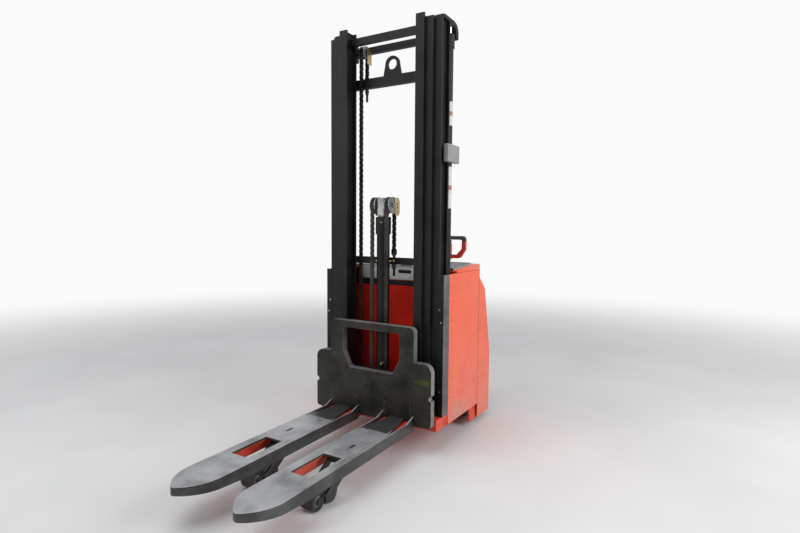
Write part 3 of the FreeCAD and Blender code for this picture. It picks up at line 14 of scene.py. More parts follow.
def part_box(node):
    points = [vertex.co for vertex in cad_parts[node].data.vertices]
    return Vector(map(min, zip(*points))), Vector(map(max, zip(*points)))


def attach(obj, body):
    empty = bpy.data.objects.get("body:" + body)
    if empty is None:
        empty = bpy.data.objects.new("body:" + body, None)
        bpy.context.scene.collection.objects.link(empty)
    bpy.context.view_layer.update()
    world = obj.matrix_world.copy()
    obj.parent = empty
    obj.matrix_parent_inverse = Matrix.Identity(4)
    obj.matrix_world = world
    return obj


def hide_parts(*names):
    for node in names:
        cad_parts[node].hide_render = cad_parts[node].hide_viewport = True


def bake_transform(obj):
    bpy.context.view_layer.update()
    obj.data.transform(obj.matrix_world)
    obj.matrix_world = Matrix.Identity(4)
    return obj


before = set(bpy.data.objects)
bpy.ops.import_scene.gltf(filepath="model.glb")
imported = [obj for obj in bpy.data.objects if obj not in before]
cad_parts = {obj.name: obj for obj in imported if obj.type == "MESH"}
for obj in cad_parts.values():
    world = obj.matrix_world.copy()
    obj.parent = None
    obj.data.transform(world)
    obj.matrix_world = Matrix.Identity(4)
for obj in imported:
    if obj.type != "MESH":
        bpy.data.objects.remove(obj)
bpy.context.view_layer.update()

# %% [markdown]
# The photographer stood in front of the fork tips and to the right, at chest height, with a wide lens.
# A camera could be placed by eye, but here its place, its three turns and its lens were worked out from
# the mast, the forks and the side panel together, so straight edges land where the photograph has them.

# %% Camera
eye = Vector((1.6396, -2.3277, 1.2306))
turn, dip, tilt = math.radians(30.84), math.radians(4.22), math.radians(0.44)
ahead = Vector((-math.sin(turn) * math.cos(dip), math.cos(turn) * math.cos(dip), -math.sin(dip)))
across = Vector((math.cos(turn), math.sin(turn), 0))
upward = across.cross(ahead)
right_hand = across * math.cos(tilt) + upward * math.sin(tilt)
overhead = upward * math.cos(tilt) - across * math.sin(tilt)
lens = bpy.data.cameras.new("photo_camera")
lens.lens = 23.61
lens.sensor_width = 36
lens.sensor_fit = "HORIZONTAL"
camera = bpy.data.objects.new("photo_camera", lens)
bpy.context.scene.collection.objects.link(camera)
camera.matrix_world = Matrix.Translation(eye) @ Matrix((right_hand, overhead, -ahead)).transposed().to_4x4()
bpy.context.scene.camera = camera
bpy.context.scene.view_settings.view_transform = "Standard"
print("camera at", tuple(eye))

# %% [markdown]
# A pale floor carries the shadow. Its edge fades out, so it runs into the white surround with no line.
# The fade could be a picture, but a round gradient on the floor's own coordinates needs none.


# %% Floor and surround
def feed(tree, node, links):
    """Feed a node's inputs from values or other sockets."""
    for slot, source in links.items():
        if isinstance(source, bpy.types.NodeSocket):
            tree.links.new(source, node.inputs[slot])
        else:
            node.inputs[slot].default_value = source


def join(tree, kind, links=None, **settings):
    """Add a node to a finish, set its fields and feed its inputs."""
    made = tree.nodes.new("ShaderNode" + kind)
    for field, value in settings.items():
        setattr(made, field, value)
    feed(tree, made, links or {})
    return made


def ramp(tree, source, stops):
    """A colour ramp through (place, grey or colour) stops."""
    made = join(tree, "ValToRGB", {"Fac": source})
    marks = made.color_ramp.elements
    while len(marks) < len(stops):
        marks.new(0.5)
    for mark, (place, tone) in zip(marks, stops):
        mark.position = place
        mark.color = (*tone, 1) if isinstance(tone, tuple) else (tone, tone, tone, 1)
    return made.outputs["Color"]


def noise(tree, place, scale, detail, roughness=0.5):
    """Cloudy noise from 0 to 1."""
    fields = {"Vector": place, "Scale": scale, "Detail": detail, "Roughness": roughness}
    return join(tree, "TexNoise", fields).outputs["Fac"]


def maths(tree, operation, *values, **settings):
    """The result of one sum."""
    return join(tree, "Math", dict(enumerate(values)), operation=operation, **settings).outputs[0]


def vectors(tree, operation, *values):
    """One sum on vectors, as a node."""
    return join(tree, "VectorMath", dict(enumerate(values)), operation=operation)


def length_of(tree, vector):
    """How long a vector is."""
    return vectors(tree, "LENGTH", vector).outputs["Value"]


def graded(tree, value, start, end, most=1.0, **settings):
    """0 before start and most past end."""
    fields = {"Value": value, "From Min": start, "From Max": end, "To Max": most}
    return join(tree, "MapRange", fields, **settings).outputs[0]


def between(tree, value, start, end):
    """0 before start and 1 past end, with a soft step."""
    return graded(tree, value, start, end, interpolation_type="SMOOTHSTEP")


def only(piece):
    """Leave everything deselected but this piece, and make it the active one."""
    bpy.ops.object.select_all(action="DESELECT")
    piece.select_set(True)
    bpy.context.view_layer.objects.active = piece
    return piece


def disc(name, sides, radius, fill="NGON", **where):
    """A disc, or only its rim, as a new piece."""
    bpy.ops.object.select_all(action="DESELECT")
    bpy.ops.mesh.primitive_circle_add(vertices=sides, radius=radius, fill_type=fill, **where)
    piece = bpy.context.object
    piece.name = name
    return piece


floor_radius, fade_start, fade_end = 9, 2.4, 8.0
floor = disc("studio_floor", 96, floor_radius, location=(0, 0, 0))
paving = bpy.data.materials.new("pale_floor")
paving.use_nodes = True
tree = paving.node_tree
shader = tree.nodes["Principled BSDF"]
place = join(tree, "TexCoord").outputs["Object"]
clouds = noise(tree, place, 1.1, 5.0)
greys = ramp(tree, clouds, ((0.3, 0.66), (0.7, 0.73)))
feed(tree, shader, {"Base Color": greys, "Roughness": 0.75, "Specular IOR Level": 0.2})
fade = between(tree, length_of(tree, place), fade_start, fade_end)
clear = join(tree, "BsdfTransparent").outputs["BSDF"]
faded = join(tree, "MixShader", {0: fade, 1: shader.outputs["BSDF"], 2: clear}).outputs[0]
feed(tree, tree.nodes["Material Output"], {"Surface": faded})
floor.data.materials.append(paving)

world = bpy.data.worlds.new("studio")
bpy.context.scene.world = world
world.use_nodes = True
tree = world.node_tree
tree.nodes.clear()
path = join(tree, "LightPath")
seen = maths(tree, "MAXIMUM", path.outputs["Is Camera Ray"], path.outputs["Is Transmission Ray"])
room, mirrored_room, white = [
    join(tree, "Background", {"Color": (*colour, 1), "Strength": strength}).outputs[0]
    for colour, strength in (((0.95, 0.97, 1.0), 0.42), ((0.97, 0.98, 1.0), 0.62), ((1, 1, 1), 0.96))
]
soft = join(tree, "MixShader", {0: path.outputs["Is Glossy Ray"], 1: room, 2: mirrored_room}).outputs[0]
all_rays = join(tree, "MixShader", {0: seen, 1: soft, 2: white}).outputs[0]
join(tree, "OutputWorld", {"Surface": all_rays})
print("floor and surround ready")

# %% [markdown]
# The hall has a bright front to the right of the stacker and strip lights overhead. The side panels shine,
# while all that faces the forks stays darker. Three large lamps give that without hard shadows.


# %% Lamps
def lamp(name, place, aim, size, watts):
    """A large soft lamp that looks at a point."""
    light = bpy.data.lights.new(name, "AREA")
    light.shape = "RECTANGLE"
    light.size, light.size_y = size
    light.energy = watts
    thing = bpy.data.objects.new(name, light)
    bpy.context.scene.collection.objects.link(thing)
    thing.location = place
    thing.rotation_euler = (Vector(aim) - Vector(place)).to_track_quat("-Z", "Y").to_euler()


lamp("window_light", (4.6, 0.9, 2.6), (0, 0.2, 0.9), (3.4, 2.8), 150)
lamp("strip_light", (-0.6, -1.4, 4.6), (0, 0.0, 0.6), (3.6, 3.6), 100)
lamp("hall_light", (-3.6, -3.2, 2.4), (0, 0, 0.9), (2.8, 2.6), 42)
print("lamps ready")

# %% [markdown]
# Most of the stacker is sheet steel under paint. Flat colour would look like plastic toys, so one recipe
# builds every painted or bare surface from layers on the piece's own coordinates: broad mottling, a fine
# grain in the gloss, thin scratches, wear along edges and dust near the floor. The edge layer compares the
# true face with a rounded copy of it, which also takes the hard look off the model's sharp corners.


# %% A recipe for used surfaces
def both(tree, *masks):
    """Where all the masks hold."""
    held = masks[0]
    for mask in masks[1:]:
        held = maths(tree, "MULTIPLY", held, mask)
    return held


def part_of(tree, vector, axis):
    """A vector's X, Y or Z."""
    return join(tree, "SeparateXYZ", {"Vector": vector}).outputs[axis]


def facing(tree, axis):
    """1 on faces that look along an axis, either way."""
    normal = join(tree, "NewGeometry").outputs["True Normal"]
    return maths(tree, "ABSOLUTE", part_of(tree, normal, axis))


def painted_over(tree, mask, tone, colour):
    """Another colour where the mask holds."""
    return join(tree, "Mix", {0: mask, 6: tone, 7: (*colour, 1)}, data_type="RGBA").outputs[2]


DUST = (0.35, 0.32, 0.28)
dusty_below, dust_fades_at = 0.05, 0.55
finishes = {}


def used_surface(
    name, colour, worn, rough, scratch, edge, mottle, metal=0.0, grain=(60, 60, 60), dust=0.0, bump=0.15,
    round_off=0.0015, coat=0.0, sheen=0.5, tint=None,
):
    """Paint or metal with grain, scratches, edge wear, mottling and dust. A tint adds its own layer."""
    material = bpy.data.materials.new(name)
    material.use_nodes = True
    tree = material.node_tree
    shader = tree.nodes["Principled BSDF"]
    place = join(tree, "TexCoord").outputs["Object"]
    broad = noise(tree, place, 6.0, 6.0, 0.62)
    fine = noise(tree, place, 210.0, 3.0)
    drawn = join(tree, "Mapping", {"Vector": place, "Scale": grain}).outputs[0]
    streaks = noise(tree, drawn, 2.2, 7.0, 0.7)
    dark = tuple(c * (1 - mottle * 1.6) for c in colour)
    pale = tuple(min(1, c * (1 + mottle)) for c in colour)
    tone = ramp(tree, broad, ((0.32, dark), (0.5, colour), (0.7, pale)))
    marks = ramp(tree, streaks, ((0.6, 0.0), (0.7, scratch)))
    patches = ramp(tree, broad, ((0.42, 0.15), (0.62, 1.0)))
    marks = both(tree, marks, patches)
    eased = join(tree, "Bevel", {"Radius": round_off * 2}, samples=4).outputs[0]
    true = join(tree, "NewGeometry").outputs["Normal"]
    match = vectors(tree, "DOT_PRODUCT", eased, true).outputs["Value"]
    chipped = ramp(tree, broad, ((0.38, 0.25), (0.6, 1.0)))
    rim = both(tree, graded(tree, match, 0.985, 0.8, edge), chipped)
    tone = painted_over(tree, maths(tree, "MAXIMUM", marks, rim, use_clamp=True), tone, worn)
    if tint:
        tone = tint(tree, place, broad, tone)
    if dust:
        low = graded(tree, part_of(tree, place, "Z"), dust_fades_at, dusty_below, dust)
        tone = painted_over(tree, both(tree, low, patches), tone, DUST)
    gloss = ramp(tree, fine, ((0.3, max(0.05, rough - 0.07)), (0.7, min(1.0, rough + 0.08))))
    feed(tree, shader, {"Base Color": tone, "Roughness": gloss, "Metallic": metal, "Specular IOR Level": sheen})
    if coat:
        feed(tree, shader, {"Coat Weight": coat, "Coat Roughness": 0.12})
    rise = join(tree, "Mix", {0: 0.55, 2: fine, 3: streaks}, data_type="FLOAT").outputs[0]
    soft_edge = join(tree, "Bevel", {"Radius": round_off}, samples=4).outputs[0]
    relief = {"Height": rise, "Strength": bump, "Distance": 0.001, "Normal": soft_edge}
    feed(tree, shader, {"Normal": join(tree, "Bump", relief).outputs[0]})
    finishes[name] = material


def plate_wear_and_highlight(tree, place, cloud, tone):
    """The plate's cut edges are rubbed bright and get a painted highlight. Old paint is smeared across its
    right wing.
    """
    # Faces that don't look along Y are painted paler: rubbed steel, with a painted highlight from the side
    # light.
    lit_cut_edge = between(tree, facing(tree, "Y"), 0.75, 0.45)
    rubbed_and_lit = both(tree, lit_cut_edge, ramp(tree, cloud, ((0.36, 0.45), (0.56, 0.95))))
    tone = painted_over(tree, rubbed_and_lit, tone, (0.25, 0.25, 0.25))
    squeeze = {"Vector": place, "Location": (-5.8, 0, -24.2), "Scale": (17, 3, 60)}
    centred = join(tree, "Mapping", squeeze).outputs[0]
    near = between(tree, length_of(tree, centred), 1.4, 0.2)
    smear = both(tree, near, ramp(tree, cloud, ((0.35, 0.2), (0.6, 0.75))))
    return painted_over(tree, smear, tone, (0.1, 0.115, 0.012))


def post_side_highlight(tree, place, cloud, tone):
    """The posts' side faces get a patchy painted highlight from the side light."""
    # Painted highlight: faces that look along X are painted paler, in patches.
    outer = between(tree, facing(tree, "X"), 0.6, 0.9)
    painted_side_highlight = both(tree, outer, ramp(tree, cloud, ((0.34, 0.5), (0.6, 1.0))))
    return painted_over(tree, painted_side_highlight, tone, (0.15, 0.135, 0.138))


def rolled_edge_shade(tree, place, cloud, tone):
    """The side panels' rear edges are rolled in, with painted shade that deepens the red there. Low at the
    front the red is paler in patches.
    """
    back, low = part_of(tree, place, "Y"), part_of(tree, place, "Z")
    outer = between(tree, facing(tree, "X"), 0.6, 0.9)
    # Painted shade on the strip along the rolled rear edge.
    edge_shade = both(tree, between(tree, back, 0.7005, 0.7035), between(tree, back, 0.719, 0.717), outer)
    patchy = ramp(tree, cloud, ((0.42, 0.0), (0.58, 0.75)))
    # Low at the front the red is painted paler in patches.
    pale_low_patches = both(tree, between(tree, low, 0.27, 0.15), between(tree, back, 0.62, 0.35), patchy)
    tone = painted_over(tree, edge_shade, tone, (0.5, 0.06, 0.012))
    return painted_over(tree, pale_low_patches, tone, (0.42, 0.24, 0.21))


def wheel_parts(y, z, hub, hub_tone):
    """A wheel whose hub, out to a radius round its axle, has its own colour."""
    def tint(tree, place, cloud, tone):
        off_axle = vectors(tree, "SUBTRACT", place, (0, y, z)).outputs[0]
        flat = vectors(tree, "MULTIPLY", off_axle, (0, 1, 1)).outputs[0]
        return painted_over(tree, between(tree, length_of(tree, flat), hub, hub - 0.0015), tone, hub_tone)
    return tint


def fork_wear_and_shade(tree, place, cloud, tone):
    """Loads keep the fork tops bright and the tongue at the plate is dark. The sides are darkened with painted
    shade.
    """
    uneven = maths(tree, "MULTIPLY_ADD", cloud, 0.05, part_of(tree, place, "Y"))
    off_middle = maths(tree, "ABSOLUTE", part_of(tree, place, "X"))
    off_fork = maths(tree, "ABSOLUTE", maths(tree, "SUBTRACT", off_middle, 0.18))
    heel = both(tree, between(tree, uneven, -0.108, -0.098), between(tree, off_fork, 0.08, 0.072))
    tone = painted_over(tree, heel, tone, (0.062, 0.064, 0.067))
    # Painted shade on the fork sides, the faces that look neither up nor down.
    shaded_flank = between(tree, facing(tree, "Z"), 0.8, 0.5)
    shaded_flank = both(tree, shaded_flank, ramp(tree, cloud, ((0.35, 1.0), (0.65, 0.85))))
    return painted_over(tree, shaded_flank, tone, (0.042, 0.042, 0.043))


# Each row: clean colour, worn colour, roughness, scratches, edge wear, mottling, and then what else it has.
used_surface(
    "mast_black", (0.0095, 0.0095, 0.01), (0.13, 0.125, 0.12), 0.46, 0.35, 0.55, 0.25, grain=(70, 70, 5),
    bump=0.2, sheen=0.22,
)
used_surface(
    "post_black", (0.011, 0.0108, 0.0108), (0.15, 0.14, 0.14), 0.46, 0.45, 0.7, 0.25, grain=(70, 70, 5),
    bump=0.2, sheen=0.2, tint=post_side_highlight,
)
used_surface(
    "plate_dark", (0.034, 0.032, 0.026), (0.27, 0.26, 0.24), 0.42, 0.55, 0.9, 0.4, metal=0.35,
    grain=(8, 60, 45), bump=0.35, round_off=0.003, tint=plate_wear_and_highlight, sheen=0.3,
)
used_surface(
    "fork_steel", (0.36, 0.365, 0.375), (0.56, 0.56, 0.57), 0.38, 0.8, 0.9, 0.3, metal=0.45, grain=(55, 7, 30),
    bump=0.35, round_off=0.004, tint=fork_wear_and_shade,
)
used_surface(
    "red_shell", (0.83, 0.1, 0.026), (0.55, 0.16, 0.1), 0.36, 0.25, 0.35, 0.07, grain=(30, 12, 30), bump=0.08,
    dust=0.3, coat=0.7, round_off=0.003, sheen=0.25, tint=rolled_edge_shade,
)
used_surface(
    "red_wall", (0.78, 0.022, 0.007), (0.4, 0.08, 0.05), 0.5, 0.3, 0.4, 0.15, grain=(30, 30, 12), bump=0.1,
    round_off=0.002, sheen=0.12,
)
used_surface(
    "red_cast", (0.46, 0.03, 0.014), (0.42, 0.12, 0.08), 0.42, 0.3, 0.5, 0.12, grain=(30, 30, 30),
    round_off=0.004, sheen=0.25,
)
used_surface(
    "red_frame", (0.72, 0.05, 0.013), (0.16, 0.1, 0.08), 0.45, 0.6, 0.8, 0.25, grain=(25, 25, 25), bump=0.2,
    dust=0.35, sheen=0.2,
)
used_surface("fitting_black", (0.024, 0.024, 0.026), (0.2, 0.19, 0.18), 0.5, 0.3, 0.6, 0.2)
used_surface(
    "turned_steel", (0.36, 0.355, 0.35), (0.6, 0.6, 0.6), 0.34, 0.3, 0.6, 0.35, metal=0.9, grain=(120, 20, 20),
)
used_surface(
    "chain_oiled", (0.026, 0.024, 0.019), (0.24, 0.22, 0.18), 0.38, 0.6, 0.9, 0.4, metal=0.5,
    grain=(40, 40, 40), round_off=0.0006,
)
used_surface(
    "yellow_zinc", (0.52, 0.42, 0.21), (0.62, 0.5, 0.4), 0.3, 0.5, 0.4, 0.25, metal=0.9, round_off=0.0008,
)
used_surface(
    "chrome_rod", (0.62, 0.62, 0.63), (0.5, 0.5, 0.5), 0.1, 0.3, 0.1, 0.05, metal=1.0, grain=(90, 90, 3),
    bump=0.03,
)
used_surface(
    "tray_grey", (0.27, 0.27, 0.28), (0.32, 0.32, 0.33), 0.6, 0.25, 0.3, 0.1, bump=0.3, round_off=0.002,
    sheen=0.35,
)
used_surface("case_grey", (0.26, 0.265, 0.27), (0.33, 0.33, 0.34), 0.5, 0.25, 0.4, 0.12, sheen=0.4)
used_surface("fascia_grey", (0.8, 0.8, 0.79), (0.66, 0.66, 0.65), 0.55, 0.2, 0.3, 0.08, bump=0.25, sheen=0.35)
used_surface("slot_black", (0.018, 0.018, 0.019), (0.08, 0.08, 0.08), 0.65, 0.15, 0.2, 0.2, sheen=0.25)
used_surface(
    "label_white", (0.62, 0.61, 0.58), (0.4, 0.38, 0.35), 0.45, 0.4, 0.4, 0.1, grain=(60, 60, 12), bump=0.05,
    round_off=0.0003,
)
used_surface(
    "label_red", (0.45, 0.13, 0.1), (0.5, 0.46, 0.42), 0.45, 0.5, 0.4, 0.25, grain=(60, 60, 12), bump=0.05,
    round_off=0.0003,
)
used_surface(
    "stop_red", (0.55, 0.012, 0.01), (0.4, 0.2, 0.18), 0.3, 0.15, 0.25, 0.05, bump=0.03, coat=0.4,
    round_off=0.001,
)
used_surface(
    "display_glass", (0.012, 0.016, 0.018), (0.05, 0.05, 0.05), 0.12, 0.1, 0.1, 0.1, bump=0.01, coat=0.5,
    round_off=0.0005,
)
used_surface("battery_case", (0.02, 0.021, 0.023), (0.1, 0.1, 0.1), 0.55, 0.2, 0.4, 0.2, sheen=0.3)
for name, y in (("load_front", -0.62), ("load_rear", -0.53)):
    used_surface(
        name, (0.03, 0.028, 0.026), (0.2, 0.19, 0.18), 0.55, 0.4, 0.5, 0.3, grain=(25, 25, 25), bump=0.3,
        tint=wheel_parts(y, 0.0425, 0.026, (0.22, 0.22, 0.22)),
    )
used_surface(
    "drive_tyre", (0.035, 0.03, 0.026), (0.16, 0.14, 0.12), 0.6, 0.4, 0.4, 0.3, grain=(20, 20, 20), bump=0.35,
    tint=wheel_parts(0.77, 0.115, 0.084, (0.11, 0.11, 0.11)),
)
used_surface(
    "castor_tyre", (0.032, 0.03, 0.028), (0.16, 0.15, 0.14), 0.6, 0.4, 0.4, 0.3, grain=(20, 20, 20), bump=0.3,
    tint=wheel_parts(0.8, 0.0625, 0.044, (0.24, 0.24, 0.23)),
)
used_surface(
    "grip_rubber", (0.045, 0.046, 0.05), (0.12, 0.12, 0.12), 0.6, 0.15, 0.25, 0.1, bump=0.35, round_off=0.002,
    sheen=0.35,
)
print(len(finishes), "finishes")

# %% [markdown]
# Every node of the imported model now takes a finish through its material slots. Its mesh isn't touched.

# %% Finish the model's nodes
node_finishes = {
    "fork_steel": "forks",
    "plate_dark": "carriage_plate",
    "mast_black": "carriage_frame inner_mast middle_mast outer_mast free_cylinder side_cylinders lift_rods",
    "post_black": "side_posts",
    "turned_steel": "carriage_rollers push_rods lift_head head_sheaves mast_sheaves "
                    "castor_fork_left castor_fork_right",
    "yellow_zinc": "sheave_guards",
    "chain_oiled": "free_chain_front free_chain_rear mast_chain_front mast_chain_rear",
    "fitting_black": "drive_fork tiller_base lever_left lever_right bogie_left bogie_right",
    "red_frame": "base_frame drive_chassis",
    "red_shell": "side_panels hood rear_cover",
    "red_wall": "compartment",
    "red_cast": "tiller_arm",
    "case_grey": "valve_box drive_motor",
    "battery_case": "battery",
    "load_front": "load_wheel_front_left load_wheel_front_right",
    "load_rear": "load_wheel_rear_left load_wheel_rear_right",
    "drive_tyre": "drive_wheel",
    "castor_tyre": "castor_wheel_left castor_wheel_right",
}
finished = 0
for finish, names in node_finishes.items():
    for name in names.split():
        finished += 1
        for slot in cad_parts[name].material_slots:
            slot.material = finishes[finish]
print(finished, "of", len(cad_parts), "nodes finished")

# %% [markdown]
# The small parts on the mast and the body are bars, turned pins and sawn plates. Each could be typed in as
# points, but then nothing shows how it is made. Here a cube, a disc or a ring is set down at its place
# and drawn out in edit mode, as by hand, and a bevel takes off the sharp edges.


# %% Tools for small parts
def settle(piece):
    """Put a piece's place, turn and size into its mesh."""
    only(piece)
    bpy.ops.object.transform_apply(location=True, rotation=True, scale=True)
    return piece


def start_edit(action="SELECT"):
    """Open the active piece in edit mode, with all of it selected or nothing."""
    bpy.ops.object.mode_set(mode="EDIT")
    bpy.ops.mesh.select_all(action=action)


def end_edit():
    """Turn all faces outwards and leave edit mode."""
    bpy.ops.mesh.select_all(action="SELECT")
    bpy.ops.mesh.normals_make_consistent(inside=False)
    bpy.ops.object.mode_set(mode="OBJECT")


def soften(piece, width, angle=35):
    """Round a piece's edges and smooth what is left."""
    only(piece)
    edge = piece.modifiers.new("edge", "BEVEL")
    edge.width, edge.segments, edge.angle_limit = width, 2, math.radians(angle)
    edge.limit_method = "ANGLE"
    edge.use_clamp_overlap = True
    bpy.ops.object.modifier_apply(modifier="edge")
    bpy.ops.object.shade_smooth_by_angle(angle=math.radians(40))
    return piece


def bar(name, low, high, round_off=0.0):
    """A bar between two corners."""
    bpy.ops.object.select_all(action="DESELECT")
    low, high = Vector(low), Vector(high)
    bpy.ops.mesh.primitive_cube_add(size=1, location=(low + high) / 2, scale=high - low)
    piece = bpy.context.object
    piece.name = name
    settle(piece)
    return soften(piece, round_off) if round_off else piece


TURNS = {"x": (0, math.pi / 2, 0), "y": (-math.pi / 2, 0, 0), "z": (0, 0, 0)}


def turned(name, axis, centre, stations, sides):
    """A turned piece: a disc drawn out along its axis to each (place, radius)."""
    along, radius = stations[0]
    piece = disc(name, sides, radius)
    start_edit()
    bpy.ops.transform.translate(value=(0, 0, along))
    for place, wide in stations[1:]:
        bpy.ops.mesh.extrude_region_move(TRANSFORM_OT_translate={"value": (0, 0, place - along)})
        if wide != radius:
            bpy.ops.transform.resize(value=(wide / radius, wide / radius, 1), center_override=(0, 0, place))
        along, radius = place, wide
    end_edit()
    piece.rotation_euler = TURNS[axis]
    piece.location = centre
    settle(piece)
    bpy.ops.object.shade_smooth_by_angle(angle=math.radians(35))
    return piece


def sawn(name, axis, low, high, outline, round_off=0.0):
    """A plate sawn to an outline. Across X the outline is (y, z), across Y (x, z) and across Z (x, y)."""
    piece = disc(name, len(outline), 1)
    order = "xyz".index(axis)
    for corner, flat in zip(piece.data.vertices, outline):
        spot = list(flat)
        spot.insert(order, low)
        corner.co = spot
    step = [0, 0, 0]
    step[order] = high - low
    start_edit()
    bpy.ops.mesh.extrude_region_move(TRANSFORM_OT_translate={"value": step})
    end_edit()
    return soften(piece, round_off) if round_off else piece


def copy_to(piece, name, shift=(0, 0, 0), mirror=False):
    """A copy with its own mesh, moved along or mirrored across the middle."""
    only(piece)
    bpy.ops.object.duplicate(linked=False)
    twin = bpy.context.object
    twin.name = name
    twin.location = shift
    if mirror:
        twin.scale = (-1, 1, 1)
    settle(twin)
    if mirror:
        start_edit()
        end_edit()
    return twin


def weld(name, *parts):
    """Several parts as one piece."""
    bpy.ops.object.select_all(action="DESELECT")
    for part in parts:
        part.select_set(True)
    bpy.context.view_layer.objects.active = parts[0]
    if len(parts) > 1:
        bpy.ops.object.join()
    parts[0].name = name
    return parts[0]


def pair(name, right):
    """A right-hand part and its mirror image as one piece."""
    return weld(name, right, copy_to(right, name + "_left", mirror=True))


def hollow(piece, *tools):
    """Cut other solids out of a piece."""
    for tool in tools:
        only(piece)
        saw = piece.modifiers.new("cut", "BOOLEAN")
        saw.operation, saw.solver, saw.object = "DIFFERENCE", "EXACT", tool
        bpy.ops.object.modifier_apply(modifier="cut")
        bpy.data.objects.remove(tool)


def mount(piece, finish, body):
    """Give a piece its finish and the body that it moves with. A piece given no body stays unattached."""
    piece.data.materials.clear()
    piece.data.materials.append(finishes[finish])
    if body:
        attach(piece, body)
    print(piece.name, len(piece.data.polygons), "faces")
    return piece


print("tools ready")

# %% [markdown]
# Leaf chain is flat plates laced on pins, four beside each other in every pitch. A strand could be a band
# with a striped picture, but its ragged edge shows against the bright wall. So one plate is shaped from a
# disc, copied across for two pitches, and an array repeats the pair up the strand.

# %% One pair of chain pitches
pitch = 0.0157
plate_deep = 0.0104
plate_thick = 0.0026


def chain_plate(name, x, up):
    """One plate of leaf chain, standing at the height of its lower pin."""
    plate = settle(disc(name, 10, plate_deep / 2, rotation=(0, math.pi / 2, 0)))
    start_edit("DESELECT")
    mesh = bmesh.from_edit_mesh(plate.data)
    for corner in mesh.verts:
        corner.select = corner.co.z > 0.0001
    bmesh.update_edit_mesh(plate.data)
    bpy.ops.transform.translate(value=(0, 0, pitch))
    bpy.ops.mesh.select_all(action="SELECT")
    bpy.ops.mesh.extrude_region_move(TRANSFORM_OT_translate={"value": (plate_thick, 0, 0)})
    end_edit()
    plate.location = (x, 0, up)
    return settle(plate)


def laced(odd):
    """Where a pitch's four plates lie across the chain. Odd pitches are half a step to the right."""
    return [-0.012 + place * 0.006 + (0.003 if odd else 0) for place in range(4)]


def chain_pitch(name, odd):
    """The plates and the pin of one pitch, laced to fit between those of the next."""
    up = pitch if odd else 0
    parts = [chain_plate(name + "_plate", x, up) for x in laced(odd)]
    parts.append(turned(name + "_pin", "x", (0, 0, up), ((-0.0118, 0.0026), (0.0122, 0.0026)), sides=6))
    return weld(name, *parts)


chain_pair = weld("chain_pair", chain_pitch("chain_even", False), chain_pitch("chain_odd", True))
print("chain pair", len(chain_pair.data.polygons), "faces")

# %% [markdown]
# Each strand stands in for a plain strip of the model whose length changes with the lift. It runs from the
# strip's foot to its head, and the bodies listed beside it are not given to it here.


# %% Four pairs of chain strands
def chain_strand(name, x, y, low, high):
    """Right and left strand from low to high, in place of the model's strip of the same name."""
    pairs = round((high - low) / (2 * pitch))
    stretch = (high - low) / (pairs * 2 * pitch)
    strands = []
    for side in (x, -x):
        run = copy_to(chain_pair, name + "_run", (side, y, low))
        only(run)
        repeat = run.modifiers.new("repeat", "ARRAY")
        repeat.use_relative_offset = False
        repeat.use_constant_offset = True
        repeat.constant_offset_displace = (0, 0, 2 * pitch)
        repeat.count = pairs
        bpy.ops.object.modifier_apply(modifier="repeat")
        run.location = (0, 0, low * (1 - stretch))
        run.scale = (1, 1, stretch)
        strands.append(settle(run))
    piece = weld(name + "_links", *strands)
    mount(piece, "chain_oiled", None)
    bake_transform(piece)
    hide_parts(name)


for name, lower_body, upper_body in (
    ("mast_chain_front", "inner_stage", "middle_stage"),
    ("mast_chain_rear", "front_frame", "middle_stage"),
    ("free_chain_front", "carriage", "free_head"),
    ("free_chain_rear", "inner_stage", "free_head"),
):
    low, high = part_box(name)
    chain_strand(name, high.x - 0.012, (low.y + high.y) / 2, low.z, high.z)

# %% [markdown]
# Over each sheave the chain lies on a half circle. The same plates are set round the sheave's axis
# and ride with the body that carries the sheave.


# %% Chain round the sheaves
def chain_wrap(name, x, strand_front, strand_rear, body):
    """Right and left half turn of chain between the strips' upper ends."""
    front_low, front_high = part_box(strand_front)
    rear_low, rear_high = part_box(strand_rear)
    front, rear = (front_low.y + front_high.y) / 2, (rear_low.y + rear_high.y) / 2
    radius = (rear - front) / 2
    steps = 2 * round(math.pi * radius / pitch / 2)
    angle = math.pi / steps
    chord = 2 * radius * math.sin(angle / 2)
    parts = []
    for side in (x, -x):
        for step in range(steps):
            for across in laced(step % 2 == 1):
                plate = chain_plate(name + "_plate", across, 0)
                plate.location = (0, -radius * math.cos(angle / 2), -chord / 2)
                settle(plate)
                plate.rotation_euler = (-(step + 0.5) * angle, 0, 0)
                plate.location = (side, front + radius, front_high.z)
                parts.append(settle(plate))
    mount(weld(name, *parts), "chain_oiled", body)


mast_chain_x, free_chain_x = 0.2, 0.048
chain_wrap("mast_chain_wraps", mast_chain_x, "mast_chain_front", "mast_chain_rear", "middle_stage")
chain_wrap("head_chain_wraps", free_chain_x, "free_chain_front", "free_chain_rear", "free_head")
bpy.data.objects.remove(chain_pair)

# %% [markdown]
# The lift rods are one node in the model, but the real ones are chromed rods under painted hooks. Two
# pieces stand in for the node: rods drawn out from a disc, and hooks sawn from thick plate.

